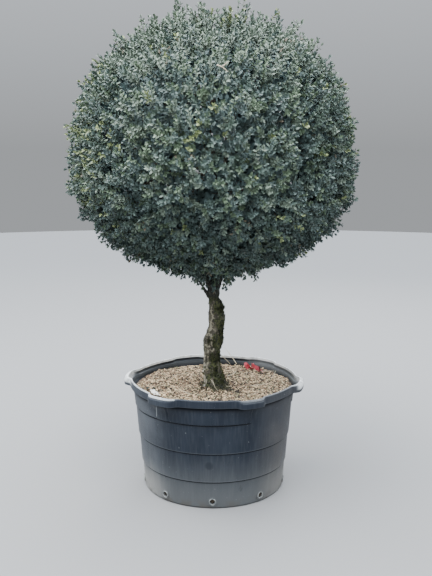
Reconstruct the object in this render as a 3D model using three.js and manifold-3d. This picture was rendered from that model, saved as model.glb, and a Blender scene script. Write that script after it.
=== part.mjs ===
// A standard lollipop topiary: a clipped evergreen ball on a clear trunk, growing in a plastic nursery tub.
// Millimetres, +Z up. The origin is the centre of the tub's flat underside, and the side first seen faces -Y.
import * as THREE from "three";
import { mergeVertices } from "three/addons/utils/BufferGeometryUtils.js";
import Module from "manifold-3d";

const wasm = await Module();
wasm.setup();

// Clearance kept wherever two pieces meet
const CLEAR = 0.3;
// Vertices closer than this are one vertex
const WELD = 1e-3;
// Joining the crown's pieces leaves no edge shorter than this
const SHORTEST_EDGE = 0.02;
// Places are told apart to this fineness
const ROUNDED = 1e-4;

// Tub: a tapered wall of four stacked bands under a rolled lip
const TUB_HEIGHT = 510;
const TUB_BASE_RADIUS = 326;
const TUB_TAPER = 38;
const TUB_WALL = 4.5;
const TUB_FLOOR = 6;
const TUB_SIDES = 80;
const BASE_ROUNDING = 9;
const BAND_HEIGHTS = [126, 259, 377];
const BAND_STEP = 4;

// Lip: a thick band that juts out at six hand grips, where its outer edge droops and the wall below it flares
const LIP_BOTTOM = 474;
const LIP_RADIUS = 386;
const LIP_TOP_INNER_RADIUS = 377;
const LIP_TOP_EDGE = 4;
const LIP_TOP_EDGE_WIDTH = 5.5;
const LEDGE_HEIGHT = 486;
const LEDGE_FALL = 2;
const INSIDE_DRAFT = 1;
const FLARE_START = 440;
const GRIP_AZIMUTHS = [-122, -69, -12, 50, 111, 174];
const GRIP_HALF_WIDTH = 11;
const GRIP_FLARE = 14;
const GRIP_LIP = 14;
const GRIP_DROOP = 9;
const GRIP_SHARPNESS = 6;
const CORNER_PULL = 5;
const CORNER_SPREAD = 30;

// Pilasters: six short upright blocks on the band under the lip
const PILASTER_FIRST = -128;
const PILASTER_COUNT = 6;
const PILASTER_HALF_WIDTH = 6;
const PILASTER_PROUD = 4;

// Drain holes low in the wall, each through a flat round boss
const DRAIN_COUNT = 9;
const DRAIN_FIRST = -91;
const DRAIN_HEIGHT = 33;
const DRAIN_RADIUS = 10.5;
const BOSS_RADIUS = 21;
const BOSS_PROUD = 2.5;
const DRAIN_SIDES = 8;

// Potting mix
const MIX_LEVEL = 468;
const MIX_SIDES = 36;
const MIX_FLAT_RADIUS = 96;
const MIX_RINGS = [150, 220, 290, 340];
const MIX_BUMP = 5;
const MIX_BUMP_BELOW = 0.6;

// Trunk, from its flat cut on the potting mix to the fork
const TRUNK_FOOT = MIX_LEVEL + CLEAR;
const FORK_HEIGHT = 905;
const FORK_CLOSING = 45;
const FORK_CLOSED = 0.6;
const TRUNK_FOOT_RADIUS = 41;
const TRUNK_TOP_RADIUS = 29;
const ROOT_FLARE = 20;
const ROOT_FLARE_REACH = 30;
const ROOT_LOBES = 5;
const ROOT_LOBE_DEPTH = 0.13;
const TRUNK_BULGES = [
  { height: 600, swell: -2.5, reach: 34 },
  { height: 694, swell: 5, reach: 36 },
  { height: 790, swell: 3.5, reach: 30 },
];
const TRUNK_FOOT_X = 5;
const TRUNK_LEAN = 3;
const TRUNK_FORWARD = 14;
const TRUNK_SWING = { size: 14, turns: 1.025, fading: 0.45 };
const TRUNK_SWAY = { size: 6, turns: 0.8 };
const TRUNK_SIDES = 12;
const TRUNK_STEPS = 13;

// Side branch: a thin one that leaves the trunk under the fork and rises to the left
const BRANCH_FOOT = new THREE.Vector3(-4, -6, 842);
const BRANCH_RUN = new THREE.Vector3(-78, -26, 140);
const BRANCH_FOOT_RADIUS = 8;
const BRANCH_TIP_RADIUS = 5;
const BRANCH_SWEEP = 1.3;
const BRANCH_SIDES = 6;
const BRANCH_STEPS = 4;

// Boughs: one leader and four spreading limbs, from the fork to the inside of the foliage
const BOUGHS = [
  { name: "bough_leader", azimuth: 60, spread: 34, top: 2040 },
  { name: "bough_left", azimuth: 195, spread: 520, top: 1640 },
  { name: "bough_front", azimuth: 281, spread: 500, top: 1560 },
  { name: "bough_right", azimuth: 12, spread: 510, top: 1600 },
  { name: "bough_back", azimuth: 101, spread: 500, top: 1660 },
];
const BOUGH_FOOT_HEIGHT = 842;
const BOUGH_CUT_HEIGHT = 1008;
const BOUGH_SWEEP = 1.6;
const BOUGH_CURL = 0.1;
const BOUGH_FOOT_RADIUS = 17;
const BOUGH_TIP_RADIUS = 7;
const BOUGH_SIDES = 8;
const BOUGH_STEPS = 8;
const BOUGH_SEATED = 32;
const BOUGH_SEARCH = { from: 0.5, to: 1.2, step: 0.002 };

// Crown: a clipped ball, widest below its middle, whose leaf tips reach this outline
const CROWN_CENTRE = new THREE.Vector3(0, 0, 1460);
const CROWN_HALF_WIDTH = 645;
const CROWN_RISE = 671;
const CROWN_DROP = 472;
const CROWN_SQUARENESS_ABOVE = 2.3;
const CROWN_SQUARENESS_BELOW = 2;
const CROWN_LUMP = 0.01;
const LUMP_WAVES = [
  { size: 1, around: 3, upright: 0, start: 0.7 },
  { size: 0.8, around: 2, upright: 4, start: -1.1 },
];
const LUMP_RINGS = { size: 0.6, upright: 5, start: 1.9 };

// Core: the shell of packed inner foliage, a close pattern of tufts outside and open below round the boughs
const CORE_DEPTH = 70;
const CORE_DEPTH_BELOW = 46;
const CORE_BELOW_FROM = 0.2;
const CORE_BELOW_TO = 0.9;
const CORE_THICKNESS = 40;
const TUFT_DETAIL = 6;
const TUFT_LOWEST = 18;
const TUFT_RANGE = 24;
const TUFT_LEAN = 12;
const TUFT_SPREAD = 0.075;
const CORE_INNER_DETAIL = 3;
const CORE_MOUTH_RADIUS = 92;
const CORE_MOUTH_SIDES = 12;

// Shoots: three-sided twigs rooted in the core, with opposite pairs of leaves and one at the tip
const SHOOT_COUNT = 68;
const SHOOT_SEED = 17;
const SHOOT_UPTURN = 0.34;
const SHOOT_JITTER = 0.16;
const SHOOT_ROOTED = 18;
const SHOOT_MOUTH_MARGIN = 14;
const SHOOT_FOOT_RADIUS = 6.5;
const SHOOT_TIP_RADIUS = 4.5;
const LEAF_LENGTH = 80;
const LEAF_WIDTH = 44;
const LEAF_THICKNESS = 6;
const LEAF_WIDEST = 0.42;
const LEAF_CUP = 0.03;
const LEAF_ROOTED = 2;
const LEAF_SUNK = 2;
const LEAF_BEYOND = 0.5;
const LEAF_PAIRS = [
  { along: 0.5, opening: 50, turn: 0, share: 1 },
  { along: 0.88, opening: 44, turn: 90, share: 1 },
];
const LEAF_AT_TIP = { along: 1, opening: 8, share: 0.85 };
const LEAF_SMALLEST = 0.86;
const LEAF_SIZE_RANGE = 0.2;

// Long shoots that have outgrown the clipped outline, by direction and by their reach above it
const TOP_SHOOT = 600;
const LONG_SHOOTS = [
  { x: -430, y: -60, above: 26 },
  { x: -255, y: 40, above: 24 },
  { x: -132, y: -10, above: 50 },
  { x: -48, y: 90, above: 42 },
  { x: 112, y: -40, above: 44 },
  { x: 240, y: 30, above: 42 },
  { x: 356, y: -30, above: 34 },
  { x: 480, y: 60, above: 30 },
  { x: -300, y: 330, above: 30 },
  { x: 180, y: 400, above: 30 },
  { x: 60, y: -330, above: 24 },
  { x: -620, y: 0, z: 180, above: 16 },
  { x: 160, y: -80, z: -420, above: 46 },
  { x: 60, y: -150, z: -420, above: 34 },
  { x: -70, y: -140, z: -420, above: 30 },
  { x: -150, y: -30, z: -420, above: 24 },
  { x: -60, y: 150, z: -420, above: 26 },
  { x: 110, y: 110, z: -420, above: 26 },
];

const COLOURS = {
  tub: { color: 0x4a525c, roughness: 0.62 },
  mix: { color: 0x9a8873, roughness: 0.95 },
  bark: { color: 0x6d6856, roughness: 0.9 },
  foliage: { color: 0x3d4f3c, roughness: 0.5 },
};

const radians = THREE.MathUtils.degToRad;
const smoothstep = THREE.MathUtils.smoothstep;
const lerp = THREE.MathUtils.lerp;
const UP = new THREE.Vector3(0, 0, 1);

// Seeded random numbers from 0 to 1, by a 32-bit linear congruence
function seededRandom(seed) {
  let state = seed;
  return () => {
    state = (Math.imul(state, 1664525) + 1013904223) >>> 0;
    return state / 4294967296;
  };
}

// A number from 0 to 1 that depends only on a place, so both copies of a vertex on a seam get the same one
function chanceAt(x, y, z) {
  const [a, b, c] = [x, y, z].map((value) => Math.round(value * 10));
  const mixed = Math.sin(a * 12.9898 + b * 78.233 + c * 37.719);
  return Math.abs(mixed * 43758.5453) % 1;
}

// Signed difference between two azimuths in degrees, from -180 to 180
function azimuthDifference(a, b) {
  return ((a - b + 540) % 360 + 360) % 360 - 180;
}

// A closed geometry as a solid, with shared vertices welded and collapsed triangles dropped
function solidOf(geometry) {
  const loose = geometry.index ? geometry.toNonIndexed() : geometry;
  const bare = new THREE.BufferGeometry().setAttribute("position", loose.getAttribute("position"));
  const welded = mergeVertices(bare, WELD);
  const corners = [];
  for (let i = 0; i < welded.index.count; i += 3) {
    const [a, b, c] = [0, 1, 2].map((n) => welded.index.getX(i + n));
    if (a !== b && b !== c && a !== c) corners.push(a, b, c);
  }
  const vertProperties = new Float32Array(welded.getAttribute("position").array);
  return new wasm.Manifold(
    new wasm.Mesh({ numProp: 3, vertProperties, triVerts: new Uint32Array(corners) }),
  );
}

// A solid as a geometry
function geometryOf(solid) {
  const made = solid.getMesh();
  const geometry = new THREE.BufferGeometry();
  geometry.setAttribute("position", new THREE.BufferAttribute(made.vertProperties, made.numProp));
  geometry.setIndex(new THREE.BufferAttribute(made.triVerts, 1));
  return geometry;
}

// The largest body of a solid, without its loose scraps and sealed pockets
function largestBody(solid) {
  return solid.decompose().reduce((a, b) => (b.volume() > a.volume() ? b : a));
}

// A named mesh of a solid
function meshOf(name, solid, colours) {
  const geometry = geometryOf(solid);
  geometry.computeVertexNormals();
  const mesh = new THREE.Mesh(geometry, new THREE.MeshStandardMaterial(colours));
  mesh.name = name;
  return mesh;
}

// Moves every vertex of a geometry by a function that changes the vector it is given
function reshape(geometry, change) {
  const position = geometry.getAttribute("position");
  const point = new THREE.Vector3();
  for (let i = 0; i < position.count; i++) {
    change(point.fromBufferAttribute(position, i));
    position.setXYZ(i, point.x, point.y, point.z);
  }
  return geometry;
}

// A profile of [radius, height] pairs turned round the Z axis
function turned(profile, sides) {
  const points = profile.map(([radius, height]) => new THREE.Vector2(radius, height));
  return new THREE.LatheGeometry(points, sides).rotateX(Math.PI / 2);
}

// The tub's outer wall radius at a height, with the bands' steps
function wallRadius(height) {
  const steps = BAND_HEIGHTS.filter((band) => height > band).length;
  return TUB_BASE_RADIUS + (TUB_TAPER * height) / TUB_HEIGHT + BAND_STEP * steps;
}

// The angle from an azimuth to the nearest grip, in degrees
function nearestGrip(azimuth) {
  return Math.min(...GRIP_AZIMUTHS.map((grip) => Math.abs(azimuthDifference(azimuth, grip))));
}

// How far into a grip an azimuth lies, from 0 between grips to 1 at a grip
function gripAt(azimuth) {
  return Math.exp(-((nearestGrip(azimuth) / GRIP_HALF_WIDTH) ** GRIP_SHARPNESS));
}

// The rim is a little six-sided: 1 at the grips and 0 from a corner's spread onwards
function cornerAt(azimuth) {
  const share = Math.min(nearestGrip(azimuth) / CORNER_SPREAD, 1);
  return Math.cos((share * Math.PI) / 2) ** 2;
}

// 1 on a pilaster and 0 elsewhere
function pilasterAt(azimuth) {
  const away = azimuthDifference((azimuth - PILASTER_FIRST) * PILASTER_COUNT, 0) / PILASTER_COUNT;
  return Math.abs(away) < PILASTER_HALF_WIDTH ? 1 : 0;
}

// Bends the round tub at one vertex: pilasters, flared grips and the lip that they pull out and down
function shapeTub(point) {
  const radius = Math.hypot(point.x, point.y);
  if (radius < 1) return;
  const azimuth = THREE.MathUtils.radToDeg(Math.atan2(point.y, point.x));
  const flare = smoothstep(point.z, FLARE_START, TUB_HEIGHT);
  const grip = gripAt(azimuth);
  const onLip = radius > LIP_TOP_INNER_RADIUS + 1;
  const onBand = point.z > BAND_HEIGHTS[2] && !onLip && radius > wallRadius(point.z) - 1;
  let grown = flare * (grip * GRIP_FLARE + cornerAt(azimuth) * CORNER_PULL);
  if (onBand) grown += pilasterAt(azimuth) * PILASTER_PROUD;
  if (onLip) grown = grip * (GRIP_FLARE + GRIP_LIP) + cornerAt(azimuth) * CORNER_PULL;
  point.x *= (radius + grown) / radius;
  point.y *= (radius + grown) / radius;
  if (onLip && point.z > LIP_BOTTOM) point.z -= grip * GRIP_DROOP;
}

// The drain holes' cylinders, radial and level, of one radius and between two distances from the axis
function drainCylinders(radius, inner, outer) {
  return Array.from({ length: DRAIN_COUNT }, (_, i) => {
    const cylinder = new THREE.CylinderGeometry(radius, radius, outer - inner, DRAIN_SIDES);
    cylinder.rotateZ(-Math.PI / 2).translate((inner + outer) / 2, 0, DRAIN_HEIGHT);
    return solidOf(cylinder.rotateZ(radians(DRAIN_FIRST + (i * 360) / DRAIN_COUNT)));
  });
}

function makeTub() {
  const bands = BAND_HEIGHTS.flatMap((height) => [
    [wallRadius(height), height],
    [wallRadius(height + 1), height + 1],
  ]);
  const inner = (height) => wallRadius(height) - TUB_WALL;
  const profile = [
    [0, 0],
    [TUB_BASE_RADIUS - BASE_ROUNDING, 0],
    [wallRadius(BASE_ROUNDING), BASE_ROUNDING],
    ...bands,
    [wallRadius(LIP_BOTTOM), LIP_BOTTOM],
    [LIP_RADIUS, LIP_BOTTOM],
    [LIP_RADIUS, TUB_HEIGHT - LIP_TOP_EDGE],
    [LIP_RADIUS - LIP_TOP_EDGE_WIDTH, TUB_HEIGHT],
    [LIP_TOP_INNER_RADIUS, TUB_HEIGHT],
    [LIP_TOP_INNER_RADIUS - INSIDE_DRAFT, LEDGE_HEIGHT],
    [inner(LIP_BOTTOM), LEDGE_HEIGHT - LEDGE_FALL],
    [innerRadius(LIP_BOTTOM), LIP_BOTTOM],
    [innerRadius(TUB_FLOOR), TUB_FLOOR],
    [0, TUB_FLOOR],
  ];
  const shell = solidOf(reshape(turned(profile, TUB_SIDES), shapeTub));
  const wall = wallRadius(DRAIN_HEIGHT);
  const bosses = drainCylinders(BOSS_RADIUS, wall - TUB_WALL / 2, wall + BOSS_PROUD);
  const holes = drainCylinders(DRAIN_RADIUS, wall - 3 * TUB_WALL, wall + 3 * BOSS_PROUD);
  return wasm.Manifold.union([shell, ...bosses]).subtract(wasm.Manifold.union(holes));
}

// The inside of the tub below its ledge is one plain taper
function innerRadius(height) {
  const top = wallRadius(LIP_BOTTOM) - TUB_WALL - INSIDE_DRAFT;
  const bottom = TUB_BASE_RADIUS - TUB_WALL - INSIDE_DRAFT;
  return lerp(bottom, top, height / LIP_BOTTOM);
}

// The potting mix fills the tub below its ledge, level where the trunk stands and a little uneven elsewhere
function makeMix() {
  const foot = TUB_FLOOR + CLEAR;
  const edge = MIX_LEVEL - MIX_BUMP;
  const profile = [
    [0, foot],
    [innerRadius(foot) - 2 * CLEAR, foot],
    [innerRadius(edge) - 2 * CLEAR, edge],
    ...MIX_RINGS.toReversed().map((radius) => [radius, MIX_LEVEL]),
    [MIX_FLAT_RADIUS, MIX_LEVEL],
    [0, MIX_LEVEL],
  ];
  const uneven = (point) => {
    const radius = Math.hypot(point.x, point.y);
    if (point.z < MIX_LEVEL - 1 || radius < MIX_FLAT_RADIUS + 1) return;
    point.z += (chanceAt(point.x, point.y, 0) - MIX_BUMP_BELOW) * MIX_BUMP;
  };
  return solidOf(reshape(turned(profile, MIX_SIDES), uneven));
}

// A round limb between two places on a path. place(t) gives its middle and radiusAt(t, angle) its radius.
// Its sections lie square to the path, or all level
function limb({ place, radiusAt, sides, steps, from = 0, to = 1, level = false }) {
  const small = 1e-3;
  const turn = new THREE.Quaternion();
  const tangent = new THREE.Vector3();
  const straight = new THREE.CylinderGeometry(1, 1, 1, sides, steps).rotateX(Math.PI / 2);
  return solidOf(
    reshape(straight, (point) => {
      const t = lerp(from, to, point.z + 0.5);
      if (!level) tangent.subVectors(place(t + small), place(t - small)).normalize();
      if (!level) turn.setFromUnitVectors(UP, tangent);
      const centred = Math.hypot(point.x, point.y) < small;
      const angle = Math.atan2(point.y, point.x);
      const radius = centred ? 0 : radiusAt(t, angle);
      point.set(radius * Math.cos(angle), radius * Math.sin(angle), 0);
      point.applyQuaternion(turn).add(place(t));
    }),
  );
}

// The trunk's middle: it leans left above its foot, then right, and ends under the crown
function trunkPlace(t) {
  const swing = TRUNK_SWING.size * Math.sin(2 * Math.PI * TRUNK_SWING.turns * t);
  const sway = TRUNK_SWAY.size * Math.sin(2 * Math.PI * TRUNK_SWAY.turns * t);
  return new THREE.Vector3(
    TRUNK_FOOT_X - TRUNK_LEAN * t - swing * (1 - TRUNK_SWING.fading * t),
    sway - TRUNK_FORWARD * (1 - t) ** 2,
    lerp(TRUNK_FOOT, FORK_HEIGHT, t),
  );
}

// The trunk's radius: a taper with a lobed root flare, swellings at pruned limbs and an end that closes in
function trunkRadius(t, angle) {
  const height = lerp(TRUNK_FOOT, FORK_HEIGHT, t);
  const rise = height - TRUNK_FOOT;
  const flare = ROOT_FLARE * Math.exp(-rise / ROOT_FLARE_REACH);
  const lobeDepth = ROOT_LOBE_DEPTH * Math.exp(-rise / (2 * ROOT_FLARE_REACH));
  const lobes = 1 + lobeDepth * Math.cos(ROOT_LOBES * angle);
  const swells = TRUNK_BULGES.map(
    (bulge) => bulge.swell * Math.exp(-(((height - bulge.height) / bulge.reach) ** 2)),
  );
  const taper = lerp(TRUNK_FOOT_RADIUS, TRUNK_TOP_RADIUS, t);
  const closing = 1 - FORK_CLOSED * smoothstep(height, FORK_HEIGHT - FORK_CLOSING, FORK_HEIGHT);
  return (taper + flare + swells.reduce((sum, swell) => sum + swell, 0)) * lobes * closing;
}

// A bough's middle: it rises from inside the fork and sweeps outwards
function boughPlace(bough) {
  const fork = trunkPlace(1);
  const azimuth = radians(bough.azimuth);
  return (t) => {
    const out = bough.spread * Math.sign(t) * Math.abs(t) ** BOUGH_SWEEP;
    const curl = BOUGH_CURL * bough.spread * t * Math.sin(t * Math.PI * 2);
    return new THREE.Vector3(
      fork.x + out * Math.cos(azimuth) - curl * Math.sin(azimuth),
      fork.y + out * Math.sin(azimuth) + curl * Math.cos(azimuth),
      lerp(BOUGH_FOOT_HEIGHT, bough.top, t),
    );
  };
}

const boughRadius = (t) => lerp(BOUGH_FOOT_RADIUS, BOUGH_TIP_RADIUS, t);

// How far along a bough its separate piece begins
const boughCut = (bough) => (BOUGH_CUT_HEIGHT - BOUGH_FOOT_HEIGHT) / (bough.top - BOUGH_FOOT_HEIGHT);

// How far along a bough its tip lies, seated in the core
function boughEnd(bough) {
  const place = boughPlace(bough);
  for (let t = BOUGH_SEARCH.from; t < BOUGH_SEARCH.to; t += BOUGH_SEARCH.step) {
    const outward = place(t).sub(CROWN_CENTRE);
    const reach = outward.length();
    const inside = coreRadius(outward.normalize()) - CORE_THICKNESS;
    if (reach > inside + BOUGH_SEATED) return t;
  }
  throw new Error(bough.name + " never reaches the foliage");
}

function makeSideBranch() {
  const place = (t) => {
    const sideways = Math.sign(t) * Math.abs(t) ** BRANCH_SWEEP;
    return new THREE.Vector3(sideways, t, t).multiply(BRANCH_RUN).add(BRANCH_FOOT);
  };
  const radiusAt = (t) => lerp(BRANCH_FOOT_RADIUS, BRANCH_TIP_RADIUS, t);
  return limb({ place, radiusAt, sides: BRANCH_SIDES, steps: BRANCH_STEPS });
}

// The trunk with its side branch and the feet of its boughs, each foot ending in a flat cut
function makeTrunk() {
  const stem = limb({
    place: trunkPlace,
    radiusAt: trunkRadius,
    sides: TRUNK_SIDES,
    steps: TRUNK_STEPS,
    level: true,
  });
  const feet = BOUGHS.map((bough) => boughPart(bough, 0, 0, boughCut(bough)));
  return wasm.Manifold.union([stem, makeSideBranch(), ...feet]);
}

// A bough between two places along it, thickened all round by a margin
function boughPart(bough, margin, from, to) {
  return limb({
    place: boughPlace(bough),
    radiusAt: (t) => boughRadius(t) + margin,
    sides: BOUGH_SIDES,
    steps: BOUGH_STEPS,
    from,
    to,
  });
}

// How far along a bough the clearance at its end reaches
const boughClearance = (bough) => CLEAR / (bough.top - BOUGH_FOOT_HEIGHT);

function makeBough(bough) {
  return boughPart(bough, 0, boughCut(bough) + boughClearance(bough), boughEnd(bough));
}

// The room that a bough takes up in the core, clear of it all round
function boughSocket(bough) {
  return boughPart(bough, 2 * CLEAR, boughCut(bough), boughEnd(bough) + boughClearance(bough));
}

// The low swells of a hand-clipped ball in a direction from its centre
function crownSwells({ x, y, z }) {
  const azimuth = Math.atan2(y, x);
  const waves = LUMP_WAVES.map(
    ({ size, around, upright, start }) => size * Math.sin(around * azimuth + upright * z + start),
  );
  const rings = LUMP_RINGS.size * Math.sin(LUMP_RINGS.upright * z + LUMP_RINGS.start);
  return (1 - z * z) * waves.reduce((sum, wave) => sum + wave, 0) + rings;
}

// The distance from the crown's centre to its outline in a direction
function crownRadius(direction) {
  const { x, y, z } = direction;
  const around = Math.hypot(x, y) / CROWN_HALF_WIDTH;
  const upright = Math.abs(z) / (z > 0 ? CROWN_RISE : CROWN_DROP);
  const power = z > 0 ? CROWN_SQUARENESS_ABOVE : CROWN_SQUARENESS_BELOW;
  const smooth = (around ** power + upright ** power) ** (-1 / power);
  return smooth * (1 + CROWN_LUMP * crownSwells(direction));
}

// The distance from the crown's centre to the feet of the core's tufts, nearer the outline on the underside
function coreRadius(direction) {
  const below = smoothstep(-direction.z, CORE_BELOW_FROM, CORE_BELOW_TO);
  return crownRadius(direction) - lerp(CORE_DEPTH, CORE_DEPTH_BELOW, below);
}

// The point in a direction from the crown's centre that lies a height above the core
function crownPoint(direction, height) {
  return direction.clone().multiplyScalar(coreRadius(direction) + height).add(CROWN_CENTRE);
}

// A direction turned a little by chance
function scattered(direction) {
  const { x, y, z } = direction.clone().multiplyScalar(100);
  const turn = new THREE.Vector3(chanceAt(x, y, z), chanceAt(y, z, x), chanceAt(z, x, y));
  return turn.subScalar(0.5).multiplyScalar(TUFT_SPREAD).add(direction).normalize();
}

// The core's outside: each face of an uneven ball is raised into a three-sided tuft that leans up a little
function makeTufts() {
  const round = new THREE.IcosahedronGeometry(1, TUFT_DETAIL).getAttribute("position");
  const footAt = (i) => scattered(new THREE.Vector3().fromBufferAttribute(round, i));
  const corners = [];
  for (let i = 0; i < round.count; i += 3) {
    const feet = [footAt(i), footAt(i + 1), footAt(i + 2)];
    const middle = scattered(feet[0].clone().add(feet[1]).add(feet[2]).normalize());
    const tip = crownPoint(middle, TUFT_LOWEST + TUFT_RANGE * chanceAt(i, 0, 0));
    tip.z += TUFT_LEAN * (1 - Math.abs(middle.z));
    const foot = feet.map((direction) => crownPoint(direction, 0));
    for (const n of [0, 1, 2]) corners.push(foot[n], foot[(n + 1) % 3], tip);
  }
  return solidOf(new THREE.BufferGeometry().setFromPoints(corners));
}

// The shell of inner foliage, with a mouth below and seats for the boughs
function makeCore() {
  const inside = reshape(new THREE.IcosahedronGeometry(1, CORE_INNER_DETAIL), (point) =>
    point.copy(crownPoint(point.normalize(), -CORE_THICKNESS)),
  );
  const [radius, sides] = [CORE_MOUTH_RADIUS, CORE_MOUTH_SIDES];
  const mouth = new THREE.CylinderGeometry(radius, radius, CROWN_DROP, sides);
  mouth.rotateX(Math.PI / 2).translate(0, 0, CROWN_CENTRE.z - CROWN_DROP);
  const hollow = wasm.Manifold.union([solidOf(inside), solidOf(mouth), ...BOUGHS.map(boughSocket)]);
  return makeTufts().subtract(hollow);
}

// One leaf of six faces, keeled below. It grows along +Z from the origin and its upper side faces +X
function leafShape(length) {
  const widest = LEAF_WIDEST * length;
  const half = (LEAF_WIDTH * length) / LEAF_LENGTH / 2;
  const cup = LEAF_CUP * length;
  const root = [0, 0, -LEAF_ROOTED];
  const tip = [0, 0, length];
  const keel = [-LEAF_THICKNESS / 2, 0, widest];
  const left = [cup, half, widest];
  const right = [cup, -half, widest];
  const faces = [
    [root, left, keel],
    [root, keel, right],
    [root, right, left],
    [tip, keel, left],
    [tip, right, keel],
    [tip, left, right],
  ];
  const leaf = new THREE.BufferGeometry();
  return leaf.setAttribute("position", new THREE.Float32BufferAttribute(faces.flat(2), 3));
}

// Leaves on a shoot: where each starts along it, how far it opens, to which side it points and its size
function leafPlaces(random) {
  const first = random() * 180;
  const pairs = LEAF_PAIRS.flatMap((pair) =>
    [0, 180].map((opposite) => ({ ...pair, side: first + pair.turn + opposite })),
  );
  return [...pairs, { ...LEAF_AT_TIP, side: first }];
}

// One shoot from a foot inside the core: a three-sided twig, then its leaves
function makeShoot(foot, direction, length, random) {
  const turn = new THREE.Quaternion().setFromUnitVectors(UP, direction);
  const placed = (geometry) => solidOf(geometry.applyQuaternion(turn).translate(foot.x, foot.y, foot.z));
  const twig = new THREE.CylinderGeometry(SHOOT_TIP_RADIUS, SHOOT_FOOT_RADIUS, length, 3);
  const made = [placed(twig.rotateX(Math.PI / 2).translate(0, 0, length / 2))];
  const bare = length - SHOOT_ROOTED;
  for (const { along, opening, side, share } of leafPlaces(random)) {
    const size = LEAF_LENGTH * (LEAF_SMALLEST + LEAF_SIZE_RANGE * random()) * share;
    const leaf = leafShape(size).rotateY(radians(opening)).rotateZ(radians(side));
    made.push(placed(leaf.translate(0, 0, SHOOT_ROOTED + bare * along - LEAF_SUNK)));
  }
  return made;
}

// Even directions round the crown by the golden angle, each turned a little by chance
function evenDirections(count, random) {
  const golden = Math.PI * (3 - Math.sqrt(5));
  return Array.from({ length: count }, (_, i) => {
    const z = 1 - (2 * i + 1) / count;
    const ring = Math.sqrt(1 - z * z);
    const place = new THREE.Vector3(ring * Math.cos(i * golden), ring * Math.sin(i * golden), z);
    place.x += (random() - 0.5) * SHOOT_JITTER;
    place.y += (random() - 0.5) * SHOOT_JITTER;
    return place.normalize();
  });
}

// A shoot grows outwards and a little upwards from its foot under the core's surface
function growShoot(outward, above, random) {
  const foot = crownPoint(outward, -SHOOT_ROOTED);
  const direction = outward.clone().addScaledVector(UP, SHOOT_UPTURN).normalize();
  const standing = crownRadius(outward) - coreRadius(outward) + above - LEAF_LENGTH * LEAF_BEYOND;
  return makeShoot(foot, direction, SHOOT_ROOTED + standing, random);
}

// The shoots of the whole crown, with none in its mouth
function makeShoots() {
  const random = seededRandom(SHOOT_SEED);
  const mouth = CORE_MOUTH_RADIUS + SHOOT_MOUTH_MARGIN;
  const even = evenDirections(SHOOT_COUNT, random)
    .filter(({ x, y, z }) => z > 0 || Math.hypot(x, y) * CROWN_DROP > mouth)
    .map((outward) => growShoot(outward, 0, random));
  const long = LONG_SHOOTS.map(({ x, y, z = TOP_SHOOT, above }) =>
    growShoot(new THREE.Vector3(x, y, z).normalize(), above, random),
  );
  return [...even, ...long].flat();
}

// The middles of edges that more than two faces share, as where one leaf only grazes another
function pinches(geometry) {
  const position = geometry.getAttribute("position");
  const corners = Array.from(geometry.index.array, (i) => {
    const corner = new THREE.Vector3().fromBufferAttribute(position, i);
    return { corner, key: corner.toArray().map((v) => Math.round(v / ROUNDED)).join() };
  });
  const edges = new Map();
  for (let i = 0; i < corners.length; i++) {
    const [a, b] = [corners[i], corners[i % 3 === 2 ? i - 2 : i + 1]];
    const key = [a.key, b.key].sort().join();
    const edge = edges.get(key) ?? { faces: 0, middle: a.corner.clone().lerp(b.corner, 0.5) };
    edges.set(key, { ...edge, faces: edge.faces + 1 });
  }
  return [...edges.values()].filter(({ faces }) => faces > 2).map(({ middle }) => middle);
}

// Whether a solid's box, a little enlarged, holds a point
function isAt(solid, point) {
  const { min, max } = solid.boundingBox();
  const box = new THREE.Box3(new THREE.Vector3(...min), new THREE.Vector3(...max));
  return box.expandByScalar(CLEAR).containsPoint(point);
}

// The core with every shoot that is clear of the limbs. Pieces that graze each other are left out
function makeCrown(limbs) {
  const core = makeCore();
  let pieces = makeShoots().filter((piece) => piece.intersect(limbs).isEmpty());
  for (;;) {
    const fused = largestBody(wasm.Manifold.union([core, ...pieces]).simplify(SHORTEST_EDGE));
    const crown = largestBody(solidOf(geometryOf(fused)));
    const grazed = pinches(geometryOf(crown));
    if (!grazed.length) return crown;
    pieces = pieces.filter((piece) => !grazed.some((point) => isAt(piece, point)));
  }
}

const trunk = makeTrunk();
const boughs = BOUGHS.map((bough) => [bough.name, makeBough(bough)]);
const limbs = wasm.Manifold.union([trunk, ...BOUGHS.map(boughSocket)]);

const topiary = new THREE.Group();
topiary.add(meshOf("tub", makeTub(), COLOURS.tub));
topiary.add(meshOf("potting_mix", makeMix(), COLOURS.mix));
topiary.add(meshOf("trunk", trunk, COLOURS.bark));
for (const [name, solid] of boughs) topiary.add(meshOf(name, solid, COLOURS.bark));
topiary.add(meshOf("crown", makeCrown(limbs), COLOURS.foliage));

export default topiary;
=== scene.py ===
"""A standard lollipop topiary in its nursery tub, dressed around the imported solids.

Metres, +Z up. The origin is the centre of the tub's flat underside and the camera stands on the -Y side.
"""

import math

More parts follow.
